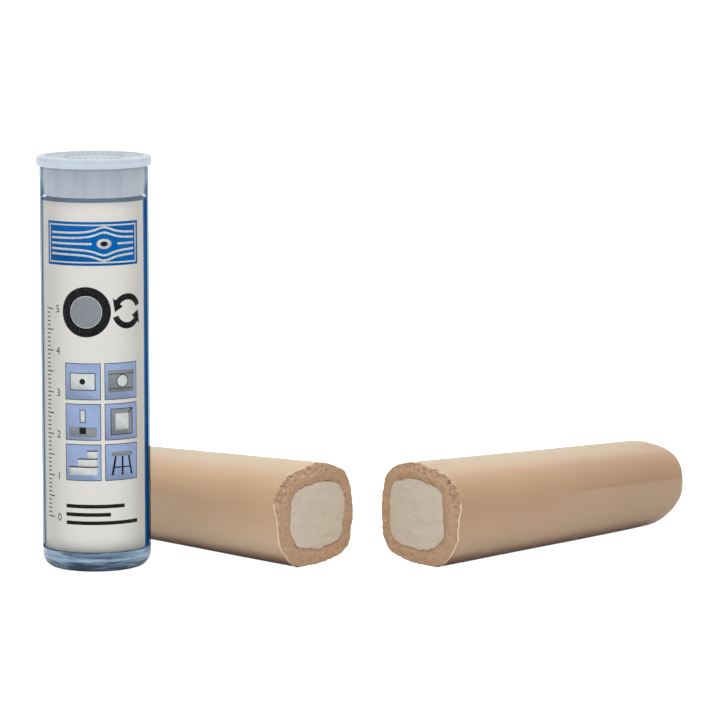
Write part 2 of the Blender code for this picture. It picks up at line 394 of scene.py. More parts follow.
class Paint(Wiring):
    """The wiring of one material: its Principled shader, its Object coordinates and what finishes share."""

    def __init__(self, material: bpy.types.Material) -> None:
        """Turn on the material's nodes and find its shader.

        Args:
            material: The material to wire.
        """
        material.use_nodes = True
        super().__init__(material.node_tree)
        self.shader = self.tree.nodes["Principled BSDF"]
        self.place = self.node("ShaderNodeTexCoord").outputs["Object"]

    def mask(self, effect: SharedEffect, scale: float, amount: float, stretch: Size3 | None = None) -> Socket:
        """Place a shared effect in the material.

        Args:
            effect: The effect.
            scale: Features to the metre.
            amount: Contrast, cover or width, as the effect uses it.
            stretch: Scale of the coordinates along each axis, where it isn't even.

        Returns:
            The effect's mask.
        """
        vector = self.place
        if stretch is not None:
            vector = self.node("ShaderNodeMapping", {"Vector": vector, "Scale": stretch}).outputs["Vector"]
        inputs = {"Vector": vector, "Scale": scale, "Amount": amount}
        return self.node("ShaderNodeGroup", inputs, node_tree=effect.tree()).outputs["Mask"]

    def mark(self, name: str) -> Socket:
        """Return a named value that the mesh keeps for its finish."""
        return self.node("ShaderNodeAttribute", attribute_name=name).outputs["Fac"]

    def facing(self) -> Socket:
        """Return how far the surface turns away from the eye."""
        return self.node("ShaderNodeLayerWeight", {"Blend": 0.5}).outputs["Facing"]

    def lit(self, tone: Any, value: Any) -> Socket:
        """Return a tone made lighter or darker by a value."""
        return self.node("ShaderNodeHueSaturation", {"Color": tone, "Value": value}).outputs["Color"]

    def turned_away(self, tone: Any, least: float) -> Socket:
        """Return a tone with painted shade: darker where the surface turns away from the eye."""
        return self.lit(tone, self.span(self.facing(), 0.0, 0.5, 1.0, least))

    def unbent(self, tone: Any) -> Socket:
        """Return a shader that lets light pass unbent and tints it."""
        return self.node("ShaderNodeBsdfTransparent", {"Color": tone}).outputs[0]

    def mixed(self, share: Socket, first: Socket, second: Socket) -> Socket:
        """Return two shaders mixed by a share."""
        return self.node("ShaderNodeMixShader", {0: share, 1: first, 2: second}).outputs[0]

    def finish(self, inputs: dict[str, Any]) -> Socket:
        """Set the Principled shader's inputs and return its output."""
        self.feed(self.shader, inputs)
        return self.shader.outputs[0]

    def show(self, surface: Socket) -> None:
        """Make a shader the material's surface."""
        self.feed(self.tree.nodes["Material Output"], {"Surface": surface})

    def let_lamps_through(self, seen: Socket, tone: Colour) -> None:
        """Let light that doesn't come from the camera pass a clear wall unbent, so that what it holds is lit.

        Args:
            seen: The clear surface that the camera sees.
            tone: Colour that the wall gives to the light.
        """
        path = self.node("ShaderNodeLightPath").outputs
        through = self.unbent(tone)
        for ray in ("Is Shadow Ray", "Is Diffuse Ray"):
            seen = self.mixed(path[ray], seen, through)
        self.show(seen)


class Finish:
    """One surface finish, wired as a material the first time that a piece asks for it."""

    name = "finish"
    slot = ""

    def material(self) -> bpy.types.Material:
        """Return the finish's material.

        Returns:
            The material, made the first time.
        """
        made = bpy.data.materials.get(self.name)
        if made is None:
            made = bpy.data.materials.new(self.name)
            self.wire(Paint(made))
        return made

    def wire(self, paint: Paint) -> None:
        """Set the shader and its textures in a material's wiring."""
        raise NotImplementedError


@dataclass(frozen=True)
class ClearPlastic(Finish):
    """The tube's clear, slightly blue moulded plastic, with faint wear from handling and painted steel-blue
    shade where it is edge on.
    """

    name: str = "clear_tube_plastic"
    slot: str = "clear_plastic"
    tone: Colour = (0.975, 0.985, 0.995, 1.0)
    edge_shade_tone: Colour = (0.4, 0.48, 0.54, 1.0)
    edge_span: Point2 = (0.5, 0.62)
    dark_span: Point2 = (0.68, 0.8)
    mouth_level: float = 96.1 * MM
    mouth_share: float = 0.15
    gap_foot: float = 89.6 * MM
    gap_height: float = 4.5 * MM
    gap_share: float = 0.1
    refraction: float = 1.1
    polish: float = 0.015
    wear: float = 0.09
    shine: float = 0.08
    drawn: Size3 = (1.0, 1.0, 0.12)

    def wire(self, paint: Paint) -> None:
        """Set clear plastic with flow lines and scuffs, with painted shade that tints it at its mouth, near
        the gap under the cap and where it is edge on.

        Args:
            paint: Wiring of the material.
        """
        scuffs = paint.mask(STROKES, 420.0, 0.006, self.drawn)
        worn = paint.times(scuffs, paint.mask(MOTTLE, 160.0, 2.2))
        flow = paint.mask(MOTTLE, 260.0, 1.0, self.drawn)
        facing = paint.facing()
        height = paint.axes(paint.place)["Z"]
        # Painted shade: the wall tints steel blue where it is edge on, more so near the gap under the cap,
        # and a painted shadow line lies at the mouth under the flange.
        above = paint.span(height, self.gap_foot - 1.0 * MM, self.gap_foot, 0.0, self.gap_share)
        below = paint.span(height, self.gap_foot, self.gap_foot + self.gap_height, self.gap_share, 0.0)
        gap = paint.math("MINIMUM", above, below)
        side = paint.span(paint.math("ADD", facing, gap), *self.dark_span)
        mouth = paint.span(height, self.mouth_level, self.mouth_level + 0.1 * MM)
        dark = paint.math("MAXIMUM", side, paint.times(mouth, self.mouth_share))
        edge = paint.math("MAXIMUM", paint.span(facing, *self.edge_span), mouth)
        clear = paint.finish({
            "Base Color": self.tone,
            "Transmission Weight": 1.0,
            "IOR": self.refraction,
            "Specular IOR Level": self.shine,
            "Roughness": paint.between(worn, self.polish, self.wear),
            "Normal": paint.bump(flow, 0.02 * MM, 0.5),
        })
        # The painted shade is a tinted see-through shader in place of the clear one.
        deep = paint.unbent(paint.tint(dark, self.tone, self.edge_shade_tone))
        paint.let_lamps_through(paint.mixed(edge, clear, deep), self.tone)


@dataclass(frozen=True)
class ThickBase(Finish):
    """The tube's thick base, with painted steel-blue shade face on and painted light at its sides."""

    name: str = "thick_base_plastic"
    slot: str = "clear_plastic"
    dark: Colour = surface_colour(42, 66, 90)
    pale: Colour = surface_colour(158, 186, 212)
    upper: Point2 = (1.4 * MM, 3.2 * MM)
    band_level: float = 3.1 * MM
    band_half: float = 0.6 * MM
    band_share: float = 0.3
    streak: float = 0.8
    level: Size3 = (1.0, 1.0, 7.0)
    clear: float = 0.3

    def wire(self, paint: Paint) -> None:
        """Set a half clear plastic with painted shade face on and low down, painted light at its sides, level
        streaks and one painted pale band.

        Args:
            paint: Wiring of the material.
        """
        # The colour is painted light and shade: darker face on and low down, paler at the sides and in one
        # band.
        height = paint.axes(paint.place)["Z"]
        upper = paint.span(height, *self.upper, 0.05, 1.0)
        side = paint.times(paint.span(paint.facing(), 0.1, 0.5, 0.44, 0.85), upper)
        streaks = paint.math("SUBTRACT", paint.mask(MOTTLE, 190.0, 2.6, self.level), 0.5)
        offset = paint.math("ABSOLUTE", paint.math("SUBTRACT", height, self.band_level))
        band = paint.span(offset, 0.0, self.band_half, self.band_share, 0.0)
        streaked = paint.times(streaks, self.streak)
        share = paint.math("ADD", paint.math("ADD", side, band), streaked, clamp=True)
        paint.finish({
            "Base Color": paint.tint(share, self.dark, self.pale),
            "Roughness": paint.span(streaks, -0.5, 0.5, 0.06, 0.16),
            "Transmission Weight": self.clear,
            "IOR": 1.4,
        })


@dataclass(frozen=True)
class FrostedPlastic(Finish):
    """The cap's milky blue-white plastic, duller over the thin web than on the thick rim."""

    name: str = "frosted_cap_plastic"
    slot: str = "frosted_plastic"
    web_tone: Colour = surface_colour(198, 210, 226, Level.UPWARD)
    rim_tone: Colour = surface_colour(172, 180, 190)
    skirt_tone: Colour = surface_colour(164, 170, 178)
    web_radius: float = 11.6 * MM
    skirt_level: float = 96.4 * MM
    skirt_depth: float = 6.0 * MM
    rim_level: float = 98.2 * MM
    rim_half: float = 0.4 * MM
    drawn: Size3 = (1.0, 1.0, 0.1)

    def wire(self, paint: Paint) -> None:
        """Set frosted plastic that is toned by how thick it is, with painted light on the flange's side.

        Args:
            paint: Wiring of the material.
        """
        axes = paint.axes(paint.place)
        height = axes["Z"]
        flat = paint.node("ShaderNodeCombineXYZ", {"X": axes["X"], "Y": axes["Y"]}).outputs[0]
        reach = paint.node("ShaderNodeVectorMath", {0: flat}, operation="LENGTH").outputs["Value"]
        rim = paint.span(reach, self.web_radius, self.web_radius + 1.0 * MM)
        high = paint.span(height, self.skirt_level - 0.2 * MM, self.skirt_level + 0.3 * MM)
        tone = paint.tint(high, self.skirt_tone, paint.tint(rim, self.web_tone, self.rim_tone))
        cloudy = paint.mask(MOTTLE, 210.0, 1.6)
        streaks = paint.mask(MOTTLE, 420.0, 2.2, self.drawn)
        depth = paint.span(height, self.skirt_level - self.skirt_depth, self.skirt_level, 1.03, 0.95)
        streaky = paint.times(depth, paint.between(streaks, 0.94, 1.06))
        # Painted light: the flange's side is drawn lighter than the rounded top of its rim.
        lit = paint.span(height, self.rim_level - self.rim_half, self.rim_level + self.rim_half, 1.18, 1.0)
        clouded = paint.times(lit, paint.between(cloudy, 0.95, 1.05))
        paint.finish({
            "Base Color": paint.lit(tone, paint.tint(high, streaky, clouded)),
            "Roughness": paint.between(cloudy, 0.34, 0.46),
            "Normal": paint.bump(paint.mask(MOTTLE, 5200.0, 2.0), 0.03 * MM, 0.35),
            "IOR": 1.49,
            "Subsurface Weight": 0.35,
            "Subsurface Radius": (1.0, 1.1, 1.3),
            "Subsurface Scale": 1.5 * MM,
        })


@dataclass(frozen=True)
class LabelPaper(Finish):
    """Coated off-white paper with a faint fibre and painted shade towards its sides; in darker tones, its
    back, painted as shade.
    """

    name: str = "coated_label_paper"
    slot: str = "label_paper"
    tone: Colour = surface_colour(212, 207, 198)
    fleck: Colour = surface_colour(200, 194, 184)
    rough: Point2 = (0.36, 0.5)
    # Darkest share of the painted shade, where the paper is edge on.
    least: float = 0.77

    def wire(self, paint: Paint) -> None:
        """Set paper with flecks, a slightly uneven coat and painted shade where it turns away from the eye.

        Args:
            paint: Wiring of the material.
        """
        fibre = paint.mask(STROKES, 900.0, 0.02)
        cloudy = paint.mask(MOTTLE, 320.0, 1.4)
        tone = paint.tint(paint.times(fibre, cloudy), self.tone, self.fleck, 0.6)
        paint.finish({
            "Base Color": paint.turned_away(tone, self.least),
            "Specular IOR Level": 0.1,
            "Roughness": paint.between(cloudy, *self.rough),
            "Normal": paint.bump(fibre, 0.01 * MM, 0.3),
        })


@dataclass(frozen=True)
class PrintInk(Finish):
    """One ink of the label's print, with the paper's grain showing a little through it, and painted shade
    towards the label's sides.
    """

    name: str = "label_ink"
    slot: str = "label_paper"
    tone: Colour = (0.1, 0.1, 0.1, 1.0)
    cover: Point2 = (0.95, 1.12)
    # Darkest share of the painted shade, where the ink is edge on.
    least: float = 0.8

    def wire(self, paint: Paint) -> None:
        """Set an ink that is thinner in places, with painted shade where it turns away from the eye.

        Args:
            paint: Wiring of the material.
        """
        thin = paint.mask(MOTTLE, 1400.0, 1.5)
        shade = paint.lit(self.tone, paint.between(thin, *self.cover))
        paint.finish({
            "Base Color": paint.turned_away(shade, self.least),
            "Roughness": paint.between(thin, 0.4, 0.55),
            "Specular IOR Level": 0.02,
        })


@dataclass(frozen=True)
class ClearFilm(Finish):
    """Thin clear film that lies close on the putty."""

    name: str = "clear_stick_film"
    slot: str = "clear_film"
    tone: Colour = (0.99, 0.985, 0.98, 1.0)
    refraction: float = 1.09
    rough: Point2 = (0.3, 0.4)
    shine: float = 0.3

    def wire(self, paint: Paint) -> None:
        """Set film with a soft gloss that varies where it was pressed.

        Args:
            paint: Wiring of the material.
        """
        pressed = paint.mask(MOTTLE, 130.0, 1.0)
        clear = paint.finish({
            "Base Color": self.tone,
            "Transmission Weight": 1.0,
            "IOR": self.refraction,
            "Specular IOR Level": self.shine,
            "Roughness": paint.between(pressed, *self.rough),
            "Normal": paint.bump(pressed, 0.12 * MM, 0.2),
        })
        paint.let_lamps_through(clear, self.tone)


@dataclass(frozen=True)
class FilmEdge(Finish):
    """The film's cut edge, crimped and milky."""

    name: str = "film_cut_edge"
    slot: str = "clear_film"
    tone: Colour = surface_colour(225, 203, 176)
    shade: Colour = surface_colour(204, 177, 147)

    def wire(self, paint: Paint) -> None:
        """Set a milky edge with darker gaps.

        Args:
            paint: Wiring of the material.
        """
        gaps = paint.mask(MOTTLE, 700.0, 2.6)
        tone = paint.tint(gaps, self.tone, self.shade)
        paint.finish({"Base Color": tone, "Roughness": paint.between(gaps, 0.3, 0.5)})


@dataclass(frozen=True)
class TanResin(Finish):
    """Firm tan putty: even under its film, granular where it is cut, with painted light and shade on both."""

    name: str = "firm_tan_resin"
    slot: str = "tan_resin"
    flank: Colour = surface_colour(175, 143, 115)
    flank_dark: Colour = surface_colour(168, 136, 109)
    # Painted sheen on the top facet: paler and less saturated than the flank.
    top_sheen: Colour = surface_colour(175, 148, 119)
    cut: Colour = surface_colour(178, 147, 120)
    cut_dark: Colour = surface_colour(166, 134, 107)
    cut_light: Colour = surface_colour(192, 162, 135)
    cut_recess_shade: Colour = surface_colour(112, 80, 57)
    # Lighter where the film lies double on the low flank, partly as painted bounce light from the table.
    lap_and_bounce_light: Colour = surface_colour(176, 152, 127)
    seam: Colour = surface_colour(150, 119, 93)
    fold: Colour = surface_colour(164, 122, 72)
    # Painted shade towards the far end of each piece.
    far_shade_tone: Colour = surface_colour(120, 92, 70)
    # Painted shade towards the table, under the bar.
    foot: Colour = surface_colour(142, 106, 81)
    foot_shade_span: Point2 = (1.4 * MM, 4.2 * MM)

    def wire(self, paint: Paint) -> None:
        """Set putty that is toned by the marks on its mesh.

        Args:
            paint: Wiring of the material.
        """
        cut, shade = paint.mark("cut"), paint.mark("shade")
        crumb = paint.mask(MOTTLE, 1100.0, 2.6)
        grains = paint.mask(SPECKLE, 1700.0, 0.32)
        pits = paint.mask(SPECKLE, 1250.0, 0.22)
        side = paint.tint(paint.mask(MOTTLE, 95.0, 1.8), self.flank, self.flank_dark)
        # Painted sheen on the top, the film's lap with painted bounce light, and painted shade towards the
        # far end are tinted in here with the seam and fold.
        for name, tone, most in (
            ("top_sheen", self.top_sheen, 1.0),
            ("lap", self.lap_and_bounce_light, 0.8),
            ("seam", self.seam, 0.5),
            ("fold", self.fold, 0.95),
            ("far_shade", self.far_shade_tone, 0.2),
        ):
            side = paint.tint(paint.mark(name), side, tone, most)
        # Painted shade: the skin darkens from about 4 mm high down to the table.
        height = paint.axes(paint.place)["Z"]
        side = paint.tint(paint.span(height, *self.foot_shade_span, 1.0, 0.0), side, self.foot)
        face = paint.tint(crumb, self.cut, self.cut_dark)
        face = paint.tint(grains, face, self.cut_light, 0.55)
        face = paint.tint(pits, face, self.cut_dark, 0.5)
        loose = paint.math("GREATER_THAN", shade, 0.1)
        face = paint.tint(loose, face, paint.tint(shade, self.cut_dark, self.cut_light))
        # Painted shade in the cut face's deepest places.
        face = paint.tint(paint.mark("deep"), face, self.cut_recess_shade, 0.45)
        rough = paint.math("SUBTRACT", paint.math("ADD", crumb, grains), pits)
        raised = paint.times(rough, paint.between(cut, 0.06, 1.0))
        paint.finish({
            "Base Color": paint.tint(cut, side, face),
            "Roughness": paint.between(crumb, 0.62, 0.86),
            "Normal": paint.bump(raised, 0.08 * MM, 0.7),
            "Specular IOR Level": 0.2,
        })


@dataclass(frozen=True)
class CreamHardener(Finish):
    """Firm cream putty with faint streaks from the knife."""

    name: str = "firm_cream_hardener"
    slot: str = "cream_hardener"
    tone: Colour = surface_colour(190, 178, 161)
    shade: Colour = surface_colour(176, 162, 144)
    fleck: Colour = surface_colour(201, 190, 175)
    level: Size3 = (0.18, 0.18, 1.0)

    def wire(self, paint: Paint) -> None:
        """Set smooth putty with level streaks, flecks and pores.

        Args:
            paint: Wiring of the material.
        """
        streaks = paint.mask(MOTTLE, 900.0, 2.2, self.level)
        cloudy = paint.mask(MOTTLE, 260.0, 1.6)
        pores = paint.mask(SPECKLE, 1050.0, 0.08)
        tone = paint.tint(paint.times(streaks, cloudy), self.tone, self.shade)
        tone = paint.tint(paint.mask(SPECKLE, 1500.0, 0.2), tone, self.fleck, 0.5)
        height = paint.math("SUBTRACT", paint.times(streaks, 0.6), pores)
        paint.finish({
            "Base Color": paint.tint(pores, tone, self.shade, 0.4),
            "Roughness": paint.between(cloudy, 0.6, 0.78),
            "Normal": paint.bump(height, 0.1 * MM, 0.7),
            "Specular IOR Level": 0.2,
        })


@dataclass(frozen=True)
class PaleFloor(Finish):
    """The plain pale table, seen a little overexposed as in a cut-out photograph."""

    name: str = "pale_floor"
    tone: Colour = (0.84, 0.84, 0.84, 1.0)
    pale: Colour = (0.88, 0.88, 0.88, 1.0)
    glow: float = 1.0

    def wire(self, paint: Paint) -> None:
        """Set a matt table with a faint unevenness, and a glow that only the camera sees.

        Args:
            paint: Wiring of the material.
        """
        tone = paint.tint(paint.mask(MOTTLE, 3.0, 0.6), self.tone, self.pale)
        table = paint.finish({"Base Color": tone, "Roughness": 0.7, "Specular IOR Level": 0.2})
        seen = paint.node("ShaderNodeLightPath").outputs["Is Camera Ray"]
        glow = paint.node("ShaderNodeEmission", {"Strength": paint.times(seen, self.glow)}).outputs[0]
        paint.show(paint.node("ShaderNodeAddShader", {0: table, 1: glow}).outputs[0])


def dress(piece: Piece, body: str, node: str | None, *finishes: Finish, shades: bool = True) -> None:
    """Give a piece its finishes and tie it to the frame.

    Args:
        piece: The finished piece.
        body: Body of the frame that it moves with.
        node: Node that it stands for, if any.
        finishes: Its finishes, in the order of its material slots.
        shades: Whether it casts shadows on other pieces.
    """
    piece.visible_shadow = shades
    piece.visible_diffuse = shades
    slots = piece.data.materials
    for number, finish in enumerate(finishes):
        if number == len(slots):
            slots.append(None)
        slots[number] = finish.material()
    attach(piece, body)
    if node is not None:
        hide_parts(node)
    LOG.info("%s: %d faces on %s", piece.name, len(piece.data.polygons), body)


class Recipe:
    """A Geometry Nodes tree with named inputs, grown into a plain mesh."""

    kinds = {int: "NodeSocketInt", float: "NodeSocketFloat", tuple: "NodeSocketVector"}

    def __init__(self, name: str, finish: Finish, **sizes: Any) -> None:
        """Start a tree with a source mesh, sizes and a finish as its inputs.

        Args:
            name: Name of the tree.
            finish: Finish of what it grows.
            sizes: Value of each size, by its name.
        """
        self.tree = bpy.data.node_groups.new(name, "GeometryNodeTree")
        self.wires = Wiring(self.tree)
        self.values: dict[str, Any] = {}
        self.socket("Geometry", "NodeSocketGeometry")
        for label, value in sizes.items():
            self.values[self.socket(label, self.kinds[type(value)])] = value
        self.values[self.socket("Finish", "NodeSocketMaterial")] = finish.material()
        self.socket("Geometry", "NodeSocketGeometry", "OUTPUT")
        self.entry = self.wires.node("NodeGroupInput").outputs

    def socket(self, label: str, kind: str, way: str = "INPUT") -> str:
        """Add a socket to the tree and return its identifier."""
        return self.tree.interface.new_socket(label, in_out=way, socket_type=kind).identifier

    def add(self, kind: str, inputs: dict[str | int, Any] | None = None, **settings: Any) -> Socket:
        """Add a node and return its first output."""
        return self.wires.node(kind, inputs, **settings).outputs[0]

    def grow(self, name: str, instances: Socket, source: Mesh | None = None) -> Mesh:
        """End the tree with its instances realised and finished, and run it on a source mesh.

        Args:
            name: Name of the new mesh.
            instances: What the tree has placed.
            source: Mesh that the tree starts from, if it needs one.

        Returns:
            The result as a plain mesh.
        """
        real = self.add("GeometryNodeRealizeInstances", {0: instances})
        smooth = self.add("GeometryNodeSetShadeSmooth", {"Geometry": real, "Shade Smooth": True})
        coated = self.add("GeometryNodeSetMaterial", {0: smooth, "Material": self.entry["Finish"]})
        self.wires.node("NodeGroupOutput", {0: coated})
        carrier = add_mesh(name + "_carrier", source or bpy.data.meshes.new(name + "_source"))
        modifier = carrier.modifiers.new("recipe", "NODES")
        modifier.node_group = self.tree
        for identifier, value in self.values.items():
            modifier[identifier] = value
        graph = bpy.context.evaluated_depsgraph_get()
        mesh = bpy.data.meshes.new_from_object(carrier.evaluated_get(graph))
        mesh.name = name
        carrier.modifiers.remove(modifier)
        bpy.data.objects.remove(carrier, do_unlink=True)
        return mesh


@dataclass
class ClearTube:
    """The clear tube: a thin turned wall on a thick rounded base."""

    wall: float = 0.4 * MM
    lip_share: float = 0.42
    seat_gap: float = 0.3 * MM
    floor_corner: float = 1.1 * MM
    base_round: float = 3.2 * MM
    foot_width: float = 3.0 * MM
    foot_slope: float = 0.8 * MM
    foot_rise: float = 0.3 * MM
    base_edge: float = 0.1 * MM
    segments: int = 192

    def __post_init__(self) -> None:
        """Read how high the inner floor is from the frame."""
        self.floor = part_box("label_insert")[0].z - self.seat_gap

    def profile(self) -> list[Point2]:
        """Return the section, from the middle of the inner floor to the middle of the underside.

        Returns:
            Points as (radius, height).
        """
        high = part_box("clear_tube")[1]
        outer, top = high.x, high.z
        bore, lip, base = outer - self.wall, self.wall * self.lip_share, self.base_round
        corner, floor, slope = self.floor_corner, self.floor, self.foot_slope
        foot = outer - base - self.foot_width
        points = [(0.0, floor), (0.5 * bore, floor)]
        points += arc((bore - corner, floor + corner), corner, -90, 0)
        points += [(bore, top * share) for share in (0.25, 0.5, 0.75)]
        points += arc((bore + lip, top - lip), lip, 180, 90, 6)
        points += arc((outer - lip, top - lip), lip, 90, 0, 6)
        points += [(outer, top * share) for share in (0.75, 0.5, 0.25)]
        points.append((outer, floor + self.base_edge))
        points += arc((outer - base, base), base, 0, -90, 14)
        points += [(foot - slope * step, self.foot_rise * step / 2) for step in range(3)]
        points.append((0.0, self.foot_rise))
        return points

    def build(self) -> None:
        """Build and dress the tube, with its thick base as a second material."""
        tube = turned("tube_shell", self.profile(), self.segments)
        for face in tube.data.polygons:
            face.material_index = int(face.center.z < self.floor + self.base_edge)
        dress(tube, "tube", "clear_tube", ClearPlastic(), ThickBase())


@dataclass
class PlugCap:
    """The push-in plug: an overhanging flange, a dished top and a hollow tapered skirt."""

    flange: float = 2.45 * MM
    rim_round: float = 0.9 * MM
    under_round: float = 0.6 * MM
    rim_width: float = 1.9 * MM
    dish: float = 0.5 * MM
    dish_slope: float = 0.7 * MM
    dish_edge: float = 0.06 * MM
    ring_radius: float = 9.2 * MM
    ring_width: float = 0.5 * MM
    ring_rise: float = 0.16 * MM
    web: float = 1.3 * MM
    web_round: float = 0.5 * MM
    skirt_wall: float = 1.2 * MM
    skirt_inset: float = 0.46 * MM
    skirt_root: Point2 = (0.1 * MM, 0.3 * MM)
    skirt_taper: float = 0.4 * MM
    nose: float = 0.35 * MM
    dash_count: int = 28
    dash_radius: float = 6.9 * MM
    dash_size: Size3 = (1.3 * MM, 0.5 * MM, 0.5 * MM)
    segments: int = 192

    def __post_init__(self) -> None:
        """Read the cap's place from the frame."""
        self.low, self.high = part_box("plug_cap")

    def profile(self) -> list[Point2]:
        """Return the section, from the middle of the top to the middle of the hollow's ceiling.

        Returns:
            Points as (radius, height).
        """
        outer, top, foot = self.high.x, self.high.z, self.low.z
        under, dish, rim, low_rim = top - self.flange, top - self.dish, self.rim_round, self.under_round
        edge = outer - self.rim_width
        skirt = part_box("clear_tube")[1].x - self.skirt_inset
        hollow = skirt - self.skirt_wall
        nose_out = skirt - self.skirt_taper
        ring, half, raised = self.ring_radius, self.ring_width / 2, dish + self.ring_rise
        ceiling = dish - self.web
        points = [(0.0, dish), (ring - 2 * half, dish), (ring - half, raised), (ring + half, raised)]
        points += [(ring + 2 * half, dish), (edge - self.dish_slope, dish)]
        points += [(edge - 0.5 * self.dish_slope, dish + 0.4 * self.dish), (edge, top - self.dish_edge)]
        points += arc((outer - rim, top - rim), rim, 90, 0)
        points += arc((outer - low_rim, under + low_rim), low_rim, 0, -90)
        points += [(skirt + self.skirt_root[0], under), (skirt, under - self.skirt_root[1])]
        points += arc((nose_out - self.nose, foot + self.nose), self.nose, 8, -90)
        points += [(nose_out - self.skirt_wall, foot), (hollow, ceiling - self.web_round)]
        points += [(hollow - self.web_round, ceiling), (0.0, ceiling)]
        return points

    def dashes(self) -> Piece:
        """Return a ring of low moulded dashes on the dished top.

        Returns:
            All the dashes as one piece.
        """
        sizes = {"Count": self.dash_count, "Radius": self.dash_radius, "Dash": self.dash_size}
        recipe = Recipe("moulded_dashes", FrostedPlastic(), **sizes)
        add, entry = recipe.add, recipe.entry
        ring = add("GeometryNodeMeshCircle", {"Vertices": entry["Count"], "Radius": entry["Radius"]})
        block = add("GeometryNodeMeshCube", {"Size": entry["Dash"]})
        soft = add("GeometryNodeSubdivisionSurface", {"Mesh": block, "Level": 2})
        spot = add("GeometryNodeInputPosition")
        turn = add("FunctionNodeAlignRotationToVector", {"Vector": spot}, axis="Y")
        placed = add("GeometryNodeInstanceOnPoints", {"Points": ring, "Instance": soft, "Rotation": turn})
        mesh = shifted(recipe.grow("cap_dashes", placed), (0.0, 0.0, self.high.z - self.dish))
        return add_mesh("cap_dashes", mesh)

    def build(self) -> None:
        """Build and dress the cap."""
        shell = turned("cap_shell", self.profile(), self.segments)
        dress(shell, "cap", "plug_cap", FrostedPlastic())
        dress(self.dashes(), "cap", None, FrostedPlastic())


class Ink(Enum):
    """Inks of the label's print, from the lowest layer to the highest."""

    LILAC = surface_colour(143, 159, 190)
    BLUE = surface_colour(2, 88, 156)
    GREY = surface_colour(128, 131, 134)
    WHITE = surface_colour(197, 197, 193)
    BLACK = surface_colour(28, 28, 30)

    def finish(self) -> PrintInk:
        """Return the ink's finish."""
        return PrintInk(name=f"{self.name.lower()}_ink", tone=self.value)


def by_ink() -> dict[Ink, list[Any]]:
    """Return an empty list for each ink."""
    return {ink: [] for ink in Ink}


